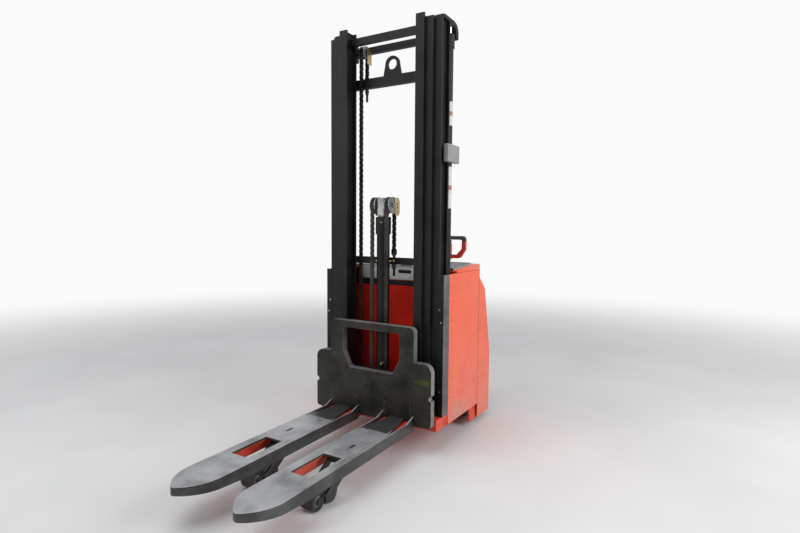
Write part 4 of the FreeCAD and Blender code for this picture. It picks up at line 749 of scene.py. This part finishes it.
# %% Chromed rods and painted hooks
rods_low, rods_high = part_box("lift_rods")
ram_high, gland_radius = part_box("side_cylinders")[1], 0.031
ram_x, ram_y = ram_high.x - gland_radius, ram_high.y - gland_radius
rod_radius = 0.015
stations = ((rods_low.z, rod_radius), (rods_high.z - 0.018, rod_radius))
rod = turned("lift_rod", "z", (ram_x, ram_y, 0), stations, sides=28)
mount(pair("chromed_rods", rod), "chrome_rod", "middle_stage")
top, back = rods_high.z, rods_high.y
arm = sawn(
    "lift_hook", "x", ram_x - 0.037, ram_x + 0.02,
    (
        (0.238, top - 0.02), (0.238, top - 0.004), (0.262, top), (back - 0.052, top),
        (back - 0.022, top - 0.01), (back - 0.004, top - 0.03), (back, top - 0.056), (back, top - 0.088),
        (back - 0.026, top - 0.088), (back - 0.034, top - 0.05), (back - 0.052, top - 0.034),
        (ram_y + 0.02, top - 0.03), (ram_y - 0.024, top - 0.026),
    ),
    round_off=0.004,
)
collar = turned("hook_collar", "z", (ram_x, ram_y, 0), ((top - 0.04, 0.019), (top - 0.012, 0.024)), sides=28)
hooks = mount(pair("lift_hooks", weld("lift_hook", arm, collar)), "mast_black", "middle_stage")
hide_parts("lift_rods")

# %% [markdown]
# Where a cylinder's rod comes out, its gland is screwed on: a ring with a groove, a wiper lip and a bleed
# screw. Stations along one turned piece give the ring and its groove.

# %% Cylinder glands
top = ram_high.z
gland = turned(
    "gland", "z", (ram_x, ram_y, 0),
    ((top - 0.066, 0.0265), (top - 0.064, 0.0305), (top - 0.046, 0.0305), (top - 0.044, 0.0285),
     (top - 0.04, 0.0285), (top - 0.038, 0.0308), (top - 0.008, 0.0308), (top + 0.001, 0.027),
     (top + 0.004, 0.0215), (top + 0.004, 0.0155)),
    sides=36,
)
stations = ((-0.036, 0.0045), (-0.027, 0.006))
bleed = turned("bleed_screw", "y", (ram_x - 0.006, ram_y, top - 0.02), stations, sides=6)
mount(pair("glands", weld("gland", gland, bleed)), "mast_black", "front_frame")

head_low, head_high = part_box("free_cylinder")
top, free_y = head_high.z, (head_low.y + head_high.y) / 2
free_gland = turned(
    "free_gland", "z", (0, free_y, 0),
    ((top - 0.096, 0.04), (top - 0.094, 0.0443), (top - 0.062, 0.0443), (top - 0.06, 0.0425),
     (top - 0.055, 0.0425), (top - 0.053, 0.0443), (top - 0.004, 0.0443), (top + 0.003, 0.04),
     (top + 0.004, 0.023)),
    sides=40,
)
mount(free_gland, "mast_black", "inner_stage")
union_z = 0.445
nipple = turned(
    "collar_nipple", "y", (0.016, free_y - 0.04, top - 0.03), ((-0.012, 0.003), (-0.006, 0.0055), (0, 0.0075)),
    sides=6,
)
union = turned(
    "cylinder_union", "y", (0.02, free_y - 0.03, union_z),
    ((-0.022, 0.006), (-0.012, 0.009), (-0.01, 0.011), (0, 0.011)), sides=6,
)
mount(weld("brass_fittings", nipple, union), "yellow_zinc", "inner_stage")

# %% [markdown]
# The free-lift cylinder is strapped to the cross bar of the inner stage by a bent rod whose ends come
# through the bar, each with a washer and a nut. A small ring spun half way round the cylinder is the strap.

# %% Strap and nuts on the cross bar
cross_z, strap_x, strap_thick, cross_bar_front = 1.038, 0.0455, 0.006, 0.2675
ring_place = {"location": (strap_x, free_y, cross_z), "rotation": (math.pi / 2, 0, 0)}
strap = settle(disc("cylinder_strap", 10, strap_thick, "NOTHING", **ring_place))
start_edit()
bpy.ops.mesh.spin(steps=18, angle=math.pi, center=(0, free_y, cross_z), axis=(0, 0, -1))
end_edit()
bpy.ops.object.shade_smooth_by_angle(angle=math.radians(60))
parts = [strap]
nut_and_washer = ((-0.011, 0.0075), (-0.0095, 0.0095), (-0.002, 0.0095), (-0.0018, 0.0125), (0, 0.0125))
leg = ((-0.001, strap_thick), (0.04, strap_thick))
for x in (strap_x, -strap_x):
    parts.append(turned("strap_leg", "y", (x, free_y, cross_z), leg, sides=10))
    parts.append(turned("strap_nut", "y", (x, cross_bar_front, cross_z), nut_and_washer, sides=6))
mount(weld("cylinder_strap", *parts), "yellow_zinc", "inner_stage")

# %% [markdown]
# Every chain ends in an anchor: a clevis head with a cross pin, a threaded rod through the bar and lock
# nuts under it. The rods are in the model, and the clevis cheeks, pins and nuts are added here.

# %% Chain anchors
def anchor(name, x, y, top, under, cone=0.0):
    """Clevis cheeks with their pin at the rod's top, and a cone or two lock nuts under the bar."""
    deep = 0.0075
    cheek = (
        (y - deep, top - 0.034), (y + deep, top - 0.034), (y + deep * 1.25, top - 0.016),
        (y + deep, top - 0.002), (y - deep, top - 0.002), (y - deep * 1.25, top - 0.016),
    )
    parts = [
        sawn(name + "_cheek", "x", x + side, x + side + 0.002, cheek, round_off=0.0008)
        for side in (-0.0145, 0.0125)
    ]
    pin = ((-0.0175, 0.0035), (-0.017, 0.0045), (0.017, 0.0045), (0.0175, 0.0035))
    parts.append(turned(name + "_pin", "x", (x, y, top - 0.01), pin, sides=12))
    boss = ((top - 0.046, 0.0085), (top - 0.034, 0.0125), (top - 0.02, 0.0125))
    parts.append(turned(name + "_boss", "z", (x, y, 0), boss, sides=16))
    if cone:
        profile = ((under - cone, 0.0072), (under - cone + 0.004, 0.0084), (under, 0.0135))
        parts.append(turned(name + "_cone", "z", (x, y, 0), profile, sides=16))
        return weld(name, *parts)
    nut = ((-0.012, 0.011), (-0.011, 0.0125), (-0.001, 0.0125), (0, 0.011))
    for up in (under, under - 0.014):
        parts.append(turned(name + "_nut", "z", (x, y, up), nut, sides=6))
    return weld(name, *parts)


mast_chain_back, eye_bar_under = 0.35, 2.054
mast_rear_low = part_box("mast_chain_rear")[0].z
mast_anchor = anchor("mast_anchor", mast_chain_x, mast_chain_back, mast_rear_low, eye_bar_under, cone=0.031)
mount(pair("mast_anchors", mast_anchor), "fitting_black", "front_frame")
free_chain_back, cross_bar_under = 0.27, 1.018
free_rear_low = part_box("free_chain_rear")[0].z
free_anchor = anchor("free_anchor", free_chain_x, free_chain_back, free_rear_low, cross_bar_under)
mount(pair("free_anchors", free_anchor), "fitting_black", "inner_stage")

# %% [markdown]
# A bent and plated guard stops the chain jumping off its sheave. It is sawn from thin sheet, with a lip bent
# round its front edge. Its slots aren't cut through: thin dark plates on its face stand in for them as painted
# shade.


# %% Chain guards
def guard(name, x, front, back, low, high):
    """Side sheet with a lip bent round its front edge."""
    thick = 0.0022
    outline = (
        (front, low + 0.01), (front + 0.01, low), (back - 0.012, low), (back, low + 0.018),
        (back, high - 0.022), (back - 0.014, high), (front + 0.006, high), (front, high - 0.008),
    )
    sheet = sawn(name + "_sheet", "x", x, x + thick, outline, round_off=0.0006)
    lip = bar(name + "_lip", (x - 0.012, front, low + 0.012), (x, front + thick, high - 0.012), 0.0006)
    return weld(name, sheet, lip)


def guard_slot_shades(name, x, y, rows):
    """Thin dark plates of painted shade that stand for slots in the guard."""
    parts = []
    for z in rows:
        slot = (
            (y - 0.006, z - 0.003), (y - 0.004, z - 0.0045), (y + 0.004, z - 0.0045), (y + 0.006, z - 0.003),
            (y + 0.006, z + 0.003), (y + 0.004, z + 0.0045), (y - 0.004, z + 0.0045), (y - 0.006, z + 0.003),
        )
        parts.append(sawn(name, "x", x + 0.0021, x + 0.0026, slot))
    return weld(name, *parts)


head_sheave_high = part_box("head_sheaves")[1]
edge_x, top = head_sheave_high.x + 0.0015, head_sheave_high.z
head_guard = guard("head_guard", edge_x, 0.244, 0.296, top - 0.106, top - 0.003)
mount(pair("head_guards", head_guard), "yellow_zinc", "free_head")
head_slot_shades = guard_slot_shades("head_guard_slot_shades", edge_x, 0.27, (top - 0.04, top - 0.06))
mount(pair("head_guard_slot_shades", head_slot_shades), "fitting_black", "free_head")

# %% [markdown]
# The battery lid is one moulding. Its top falls 23 mm to the front, its narrow front face hangs over the wall,
# and a shallow grey tray is let into the top. The solid model has it plain and level, so the moulded form is
# cut here from sawn blocks and stands in the plain lid's place. Sculpting it would hide its true sizes.


# %% Battery lid and its tray
def rounded(x_low, x_high, z_low, z_high, radius, corners="all"):
    """Outline of a rectangle whose corners are round, or only its lower ones."""
    steps = 5
    outline = []
    for x, z, start, turned_round in (
        (x_low + radius, z_low + radius, 180, True),
        (x_high - radius, z_low + radius, 270, True),
        (x_high - radius, z_high - radius, 0, corners == "all"),
        (x_low + radius, z_high - radius, 90, corners == "all"),
    ):
        if not turned_round:
            outline.append((x_high if start == 0 else x_low, z_high))
            continue
        for step in range(steps + 1):
            angle = math.radians(start + 90 * step / steps)
            outline.append((x + radius * math.cos(angle), z + radius * math.sin(angle)))
    return outline


lid_low, lid_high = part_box("hood")
front, lid_back = lid_low.y, lid_high.y
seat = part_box("side_panels")[1].z + 0.0008
front_top, rear_top = lid_low.z + 0.076, lid_high.z + 0.003
crest = lid_back - 0.02
lid_slope = (rear_top - front_top) / (crest - front)
lid_wall, face_half = 0.008, 0.2555
profile = ((front, seat), (front, front_top), (crest, rear_top), (lid_back, rear_top - 0.002), (lid_back, seat))
shell = sawn("battery_lid", "x", lid_low.x, lid_high.x, profile, round_off=0.003)
inner_front, inner_back, inner_foot = front + lid_wall, lid_back - lid_wall, seat - 0.01
profile = (
    (inner_front, inner_foot), (inner_front, front_top - lid_wall), (crest, rear_top - lid_wall),
    (inner_back, rear_top - lid_wall - 0.002), (inner_back, inner_foot),
)
hollow(shell, sawn("lid_inside", "x", lid_low.x + lid_wall, lid_high.x - lid_wall, profile))
lid_face = bar("lid_face", (-face_half, front, lid_low.z), (face_half, inner_front, seat + 0.004), 0.002)
lid = mount(weld("battery_lid", shell, lid_face), "red_shell", "hood_lid")
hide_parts("hood")


def tilt_on_lid(piece, up):
    """Lay a level piece on the lid's slope, some height above it."""
    piece.rotation_euler = (math.atan(lid_slope), 0, 0)
    piece.location = (0, 0, front_top + up - front * lid_slope)
    return settle(piece)


tray_half, tray_front, tray_back, dish_floor = 0.372, 0.399, 0.669, 0.0049
outline = rounded(-tray_half, tray_half, tray_front, tray_back, 0.024)
tray = sawn("lid_tray", "z", -0.004, 0.009, outline, round_off=0.0025)
dish_half, dish_front, dish_back = 0.362, 0.409, 0.659
hollow(
    tray,
    sawn("tray_dish", "z", dish_floor, 0.02, rounded(-dish_half, dish_half, dish_front, dish_back, 0.018)),
)
mount(tilt_on_lid(tray, 0), "tray_grey", "hood_lid")

# %% [markdown]
# The lid's front face carries a grey plastic fascia that turns over the edge and meets the tray. It could be
# painted on, but its lower corners are round and its edge throws a thin shadow, so it is a thin sawn panel
# with a strip on top. Two dark grips are sunk in it and in the tray, and a black catch locks the lid.

# %% Fascia, grips and catch on the lid
fascia_half, fascia_front, fascia_foot = 0.254, front - 0.0018, 0.9185
outline = rounded(-fascia_half, fascia_half, fascia_foot, front_top, 0.022, "lower")
face = sawn("fascia_face", "y", fascia_front, front, outline, round_off=0.0006)
outline = (
    (fascia_front, front_top - 0.002), (fascia_front, front_top + 0.0004), (front - 0.001, front_top + 0.0012),
    (front + 0.0142, front_top + 0.0022), (front + 0.0142, front_top + 0.0008), (front, front_top - 0.002),
)
lip = sawn("fascia_lip", "x", -fascia_half, fascia_half, outline)
mount(weld("lid_fascia", face, lip), "fascia_grey", "hood_lid")
grip_slot = sawn(
    "fascia_grip", "y", front - 0.0026, front - 0.0014, rounded(0.01, 0.1, 0.958, 0.979, 0.008),
    round_off=0.0005,
)
mount(grip_slot, "slot_black", "hood_lid")
bezel = sawn("tray_grip_bezel", "z", 0, 0.0012, rounded(-0.024, 0.082, 0.408, 0.47, 0.012), round_off=0.0005)
well = sawn("tray_grip_well", "z", 0.001, 0.0018, rounded(-0.017, 0.075, 0.413, 0.465, 0.009), round_off=0.0004)
for part in (bezel, well):
    tilt_on_lid(part, dish_floor)
mount(bezel, "fascia_grey", "hood_lid")
mount(well, "slot_black", "hood_lid")
profile = (
    (front_top - 0.002, 0.007), (front_top + 0.003, 0.0075), (front_top + 0.004, 0.0062),
    (front_top + 0.01, 0.0062), (front_top + 0.012, 0.0048),
)
catch = turned("lid_catch", "z", (0.362, front + 0.0075, 0), profile, sides=18)
mount(catch, "slot_black", "hood_lid")

# %% [markdown]
# Under the lid the front wall shows a black band. It could be painted on, but its edges throw a thin shadow,
# so it is a long sawn strip with two steps in its lower edge, as the real one has.

# %% Band on the front wall
band_half, foot, step_foot, band_top = 0.345, 0.884, 0.88, 0.9125
outline = (
    (-band_half, foot), (-0.262, foot), (-0.258, step_foot), (-0.152, step_foot), (-0.148, foot),
    (band_half, foot), (band_half, band_top), (-band_half, band_top),
)
band = sawn("black_wall_band", "y", front - 0.0008, front + 0.0002, outline, round_off=0.0003)
mount(band, "slot_black", "front_frame")

# %% [markdown]
# The side panels and the rear cover hang on countersunk screws whose dark heads lie a little below the
# paint. The shell may not grow wider than the model, so each is a thin dished head that only just shows.


# %% Screws in the panels
def screw_set(name, body, x, places):
    """Countersunk heads with their sockets that look along X, the same in both sides."""
    radius, lift = 0.0052, 0.0001
    head = ((-0.003, radius * 0.8), (lift, radius), (lift, radius * 0.45), (lift - 0.0012, radius * 0.4))
    heads = [turned(name, "x", (x, y, z), head, sides=12) for y, z in places]
    mount(pair(name, weld(name, *heads)), "slot_black", body)


panel_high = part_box("side_panels")[1]
screw_set(
    "panel_screws", "front_frame", panel_high.x,
    ((0.3324, 0.8205), (0.3173, 0.7155), (0.636, 0.304), (0.355, 0.265)),
)
cover_low, cover_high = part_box("rear_cover")
screw_set("cover_screws", "drive_unit", cover_high.x, ((0.805, 0.748), (0.801, 0.288)))
post_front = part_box("side_posts")[0].y
bolt = ((-0.0034, 0.003), (-0.003, 0.0042), (-0.0006, 0.0042), (-0.0005, 0.0056), (0.0005, 0.0056))
bolts = [
    turned("post_bolt", "y", (x, post_front, z), bolt, sides=6)
    for x, z in ((0.3752, 0.7855), (0.385, 0.7155), (0.38, 0.33))
]
mount(pair("post_bolts", weld("post_bolts", *bolts)), "turned_steel", "front_frame")

# %% [markdown]
# Two paper labels are wrapped round the right cylinder, white with a band that was once red. They stay
# blank. A short upright edge spun part of the way round the cylinder's axis gives each sheet.


# %% Blank labels on the right cylinder
def wrapped(name, low, high, radius, start, sweep, finish):
    """A sheet wrapped part of the way round the right cylinder."""
    bpy.ops.object.select_all(action="DESELECT")
    bpy.ops.mesh.primitive_plane_add(size=1, location=(0, 0, 0))
    sheet = bpy.context.object
    sheet.name = name
    start_edit("DESELECT")
    mesh = bmesh.from_edit_mesh(sheet.data)
    mesh.verts.ensure_lookup_table()
    angle = math.radians(start)
    spot = (ram_x + radius * math.cos(angle), ram_y + radius * math.sin(angle))
    mesh.verts[0].co = (*spot, low)
    mesh.verts[1].co = (*spot, high)
    for corner in list(mesh.verts)[2:]:
        mesh.verts.remove(corner)
    first, second = list(mesh.verts)
    edge = mesh.edges.get((first, second)) or mesh.edges.new((first, second))
    first.select = second.select = edge.select = True
    bmesh.update_edit_mesh(sheet.data)
    bpy.ops.mesh.spin(steps=16, angle=math.radians(sweep), center=(ram_x, ram_y, 0), axis=(0, 0, -1))
    end_edit()
    only(sheet)
    body = sheet.modifiers.new("thickness", "SOLIDIFY")
    body.thickness, body.offset = 0.0003, 0
    bpy.ops.object.modifier_apply(modifier="thickness")
    bpy.ops.object.shade_smooth_by_angle(angle=math.radians(50))
    mount(sheet, finish, "front_frame")


paper_radius, band_radius = 0.02525, 0.02565
for mark, low, high in (("upper", 1.795, 1.925), ("lower", 1.341, 1.57)):
    middle = (low + high) / 2
    wrapped("label_" + mark, low, high, paper_radius, -130, 170, "label_white")
    wrapped("label_band_" + mark, middle - 0.012, middle + 0.012, band_radius, -128, 166, "label_red")

# %% [markdown]
# The tiller's cast loop is red, with dark rubber moulded over its upper bar and down the inside, where hands
# go. Each sleeve is sawn to the loop's own outline and made a little fuller, and the lining follows the
# inner edge, whose corners are rounded by a small function.


# %% Rubber on the tiller loop
def eased_run(corners, radius):
    """Points along straight runs whose inner corners are arcs."""
    steps = 5
    points = [Vector(corners[0])]
    for before, corner, after in zip(corners, corners[1:], corners[2:]):
        corner = Vector(corner)
        come, go = (Vector(before) - corner).normalized(), (Vector(after) - corner).normalized()
        half = come.angle(go) / 2
        middle = corner + (come + go).normalized() * radius / math.sin(half)
        start, end = corner + come * radius / math.tan(half), corner + go * radius / math.tan(half)
        for step in range(steps + 1):
            spoke = (start - middle).lerp(end - middle, step / steps)
            points.append(middle + spoke.normalized() * radius)
    points.append(Vector(corners[-1]))
    return [tuple(point) for point in points]


arm_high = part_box("tiller_arm")[1]
loop_front, loop_back = 0.998, 1.026
sleeve = sawn(
    "grip_sleeve", "y", loop_front - 0.0015, loop_back + 0.0015,
    (
        (0.051, 1.1512), (0.14, 1.1512), (0.1455, 1.149), (0.1482, 1.144), (0.1482, 1.135), (0.1738, 1.139),
        (0.1738, 1.152), (0.17, 1.165), (0.162, 1.1735), (0.15, 1.1768), (0.051, 1.1768),
    ),
    round_off=0.004,
)
mount(pair("grip_sleeves", sleeve), "grip_rubber", "tiller")
outer_run = eased_run(((0.051, 1.044), (0.11, 1.044), (0.15, 1.088), (0.15, 1.136)), 0.016)
inner_run = eased_run(((0.051, 1.0465), (0.1089, 1.0465), (0.1475, 1.089), (0.1475, 1.136)), 0.0135)
lining = sawn("grip_lining", "y", loop_front + 0.0005, loop_back - 0.0005, outer_run + inner_run[::-1])
mount(pair("grip_linings", lining), "grip_rubber", "tiller")

# %% [markdown]
# In the head's middle sit the controls: a thumb rocker on each side for driving, a broad red stop key on the
# end, and keys with a blank display on the face. The photograph hides most of them, so they follow the type.

# %% Controls on the tiller head
head_face = 0.9745
neck = sawn("head_block", "z", 1.125, 1.1545, rounded(-0.046, 0.046, head_face, 1.0455, 0.012), round_off=0.003)
mount(neck, "red_cast", "tiller")
outline = ((0.988, 1.128), (1.012, 1.122), (1.036, 1.128), (1.038, 1.146), (1.012, 1.154), (0.986, 1.146))
rocker = sawn("thumb_rocker", "x", 0.045, 0.054, outline, round_off=0.003)
mount(pair("thumb_rockers", rocker), "slot_black", "tiller")
stop_key = sawn(
    "stop_key", "z", arm_high.z - 0.001, arm_high.z + 0.009, rounded(-0.034, 0.034, 0.986, 1.038, 0.014),
    round_off=0.004,
)
mount(stop_key, "stop_red", "tiller")
display = sawn(
    "head_display", "y", 0.9722, head_face, rounded(-0.028, 0.028, 1.122, 1.158, 0.005), round_off=0.0008,
)
mount(display, "display_glass", "tiller")
keys = []
for x in (-0.02, 0.0, 0.02):
    for z in (1.088, 1.106):
        key = rounded(x - 0.0075, x + 0.0075, z - 0.006, z + 0.006, 0.004)
        keys.append(sawn("head_key", "y", 0.9705, head_face, key, round_off=0.001))
mount(weld("head_keys", *keys), "slot_black", "tiller")

# %% [markdown]
# The key switch, a blank display and the emergency stop sit on the sloping crest of the rear cover, on one dark
# plinth. Each is turned or sawn level, with a collar where it comes through, and then laid on the slope.


# %% Panel on the rear cover
def on_crest(piece):
    """Lay a level piece on the cover's slope."""
    piece.rotation_euler = (-crest_slope, 0, 0)
    forward, down = panel_way * math.cos(crest_slope), panel_way * math.sin(crest_slope)
    piece.location = (0, cover_low.y + forward, cover_high.z - down)
    return settle(piece)


cover_fall, cover_run, panel_way = 0.075, 0.091, 0.045
crest_slope = math.atan2(cover_fall, cover_run)
plinth = sawn("panel_plinth", "z", -0.001, 0.003, rounded(-0.17, 0.17, -0.032, 0.032, 0.016), round_off=0.001)
mount(on_crest(plinth), "slot_black", "drive_unit")
screen = sawn("cover_display", "z", 0.002, 0.0045, rounded(-0.05, 0.05, -0.02, 0.02, 0.005), round_off=0.0008)
mount(on_crest(screen), "display_glass", "drive_unit")
stop_x, key_x = 0.118, -0.118
profile = ((0.002, 0.01), (0.016, 0.01), (0.017, 0.017), (0.021, 0.019), (0.026, 0.018), (0.03, 0.012))
button = turned("stop_button", "z", (stop_x, 0, 0), profile, sides=28)
mount(on_crest(button), "stop_red", "drive_unit")
profile = ((0.002, 0.024), (0.0045, 0.024), (0.0055, 0.022), (0.0055, 0.011))
collar = turned("stop_collar", "z", (stop_x, 0, 0), profile, sides=28)
profile = ((0.002, 0.014), (0.008, 0.0135), (0.009, 0.012), (0.009, 0.006))
lock = turned("key_switch", "z", (key_x, 0, 0), profile, sides=24)
mount(on_crest(weld("switch_collars", collar, lock)), "turned_steel", "drive_unit")

# %% [markdown]
# Air for the drive motor comes in through louvres low in the cover's back. One slat is sawn to a wedge and
# copied up and across.

# %% Louvres in the rear cover
cover_back = cover_high.y
wedge = (
    (cover_back - 0.001, 0.18), (cover_back + 0.0035, 0.181), (cover_back + 0.003, 0.184),
    (cover_back - 0.001, 0.191),
)
slat_start, slat_end, slat_step, slat_count = 0.13, 0.3, 0.018, 9
slats = [sawn("louvre", "x", slat_start, slat_end, wedge, round_off=0.0006)]
for step in range(1, slat_count):
    slats.append(copy_to(slats[0], "louvre", (0, 0, slat_step * step)))
louvres = weld("louvres", *slats)
mount(pair("louvres", louvres), "slot_black", "drive_unit")

# %% [markdown]
# Each wheel lever is a pair of plates held apart by a tube. The model has the plates and their pins, and the
# tube between the plates is turned here.

# %% Lever tubes
tube_y, tube_z, tube_radius, plate_thickness = -0.4925, 0.0995, 0.0065, 0.006
for side in ("right", "left"):
    low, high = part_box("lever_" + side)
    stations = ((low.x + plate_thickness, tube_radius), (high.x - plate_thickness, tube_radius))
    tube = turned("lever_tube_" + side, "x", (0, tube_y, tube_z), stations, sides=20)
    mount(tube, "turned_steel", "lever_" + side)

# %% [markdown]
# Each fork is bent from thick plate: a flat top with two sides, a rounded tip, a long window over the load
# wheels and two tapered openings at the heel that leave a tongue between them. The solid model leaves the heel
# closed and its side ribs tall, so the forks are cut again here to the true outline and take its place.


# %% Forks
def fork_plan(inset, rear):
    """The fork's outline from above: straight sides, two wide arcs and a small nose arc."""
    tip_radius, nose_radius, meeting = 0.195, 0.027, 55.98
    aside = tip_radius - fork_half
    ahead = math.sqrt((tip_radius - nose_radius) ** 2 - aside ** 2)
    shoulder = fork_low.y + nose_radius + ahead
    outline = [(fork_x - fork_half + inset, rear)]
    for x, y, radius, start, end, steps in (
        (fork_x + aside, shoulder, tip_radius, 180, 180 + meeting, 12),
        (fork_x, shoulder - ahead, nose_radius, 180 + meeting, 360 - meeting, 8),
        (fork_x - aside, shoulder, tip_radius, 360 - meeting, 360, 12),
    ):
        for step in range(steps + 1):
            angle = math.radians(start + (end - start) * step / steps)
            spot = (x + (radius - inset) * math.cos(angle), y + (radius - inset) * math.sin(angle))
            if math.dist(spot, outline[-1]) > 0.0005:
                outline.append(spot)
    return outline + [(fork_x + fork_half - inset, rear)]


fork_low, fork_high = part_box("forks")
fork_x, fork_half, fork_wall = 0.182, 0.101, 0.009
fork_top, heel = fork_high.z - 0.074, fork_high.y
fork_under = fork_top - 0.01
below, above = fork_under - 0.01, fork_top + 0.01
window_half, window_tip, window_heel = 0.053, -0.699, -0.477
fork = sawn("fork", "z", fork_low.z, fork_top, fork_plan(0, heel))
relief = ((-0.76, fork_low.z), (-1.07, fork_low.z - 0.02), (-1.07, fork_top - 0.035), (-1.05, fork_top - 0.035))
cuts = [
    sawn("fork_inside", "z", fork_low.z - 0.01, fork_under, fork_plan(fork_wall, heel + 0.01)),
    bar("fork_window", (fork_x - window_half, window_tip, below), (fork_x + window_half, window_heel, above)),
    sawn("fork_relief", "x", 0, 0.4, relief),
]
tongue_edge, opening_edge, opening_tip, opening_end = 0.044, 0.0915, 0.086, -0.137
for side in (-1, 1):
    opening = (
        (fork_x + side * tongue_edge, heel + 0.001), (fork_x + side * opening_edge, heel + 0.001),
        (fork_x + side * opening_edge, opening_end), (fork_x + side * opening_tip, opening_end),
    )
    cuts.append(sawn("heel_opening", "z", below, above, opening))
hollow(fork, *cuts)
soften(fork, 0.0015, angle=40)
rib = ((heel, fork_top - 0.002), (heel, fork_top + 0.022), (heel - 0.07, fork_top - 0.002))
rib_places = (fork_x - fork_half, fork_x + fork_half - fork_wall)
ribs = [sawn("fork_rib", "x", x, x + fork_wall, rib, round_off=0.001) for x in rib_places]
fork = weld("fork", fork, *ribs)
forks = mount(pair("forks_cut", fork), "fork_steel", "carriage")
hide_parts("forks")

# %% [markdown]
# Near the heel each fork top has an oval hole for its inner bar. It reads as a dark slot with a bright rim,
# so a thin bright plate lies on the fork there, with a smaller dark one on it as painted shade for the hole.

# %% Slots in the fork tops
rims, fork_hole_shades = [], []
for x in (0.2, -0.2):
    rim = rounded(x - 0.0085, x + 0.0085, -0.376, -0.322, 0.0083)
    rims.append(sawn("fork_slot_rim", "z", fork_top - 0.002, fork_top + 0.0003, rim, round_off=0.0002))
    # The smaller dark plate is painted shade inside the hole.
    well = rounded(x - 0.0068, x + 0.0068, -0.374, -0.324, 0.0066)
    fork_hole_shades.append(sawn("fork_slot_shade", "z", fork_top, fork_top + 0.0006, well))
mount(weld("fork_slot_rims", *rims), "fork_steel", "carriage")
mount(weld("fork_slot_shades", *fork_hole_shades), "slot_black", "carriage")

# %% [markdown]
# With the lid up the battery shows, with rows of plugs that close its cells. One is turned and copied.

# %% Cell plugs on the battery
cell_low, cell_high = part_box("battery")
top = cell_high.z
profile = ((top - 0.001, 0.017), (top + 0.004, 0.016), (top + 0.006, 0.013), (top + 0.009, 0.012))
plug = turned("cell_plug", "z", (0, 0, 0), profile, sides=14)
rows, columns, row_step, column_step = 3, 8, 0.063, 0.076
plugs = []
for row in range(rows):
    for place in range(columns):
        spot = (-0.266 + place * column_step, cell_low.y + 0.04 + row * row_step, 0)
        plugs.append(copy_to(plug, "cell_plug", spot))
bpy.data.objects.remove(plug)
mount(weld("cell_plugs", *plugs), "fascia_grey", "front_frame")
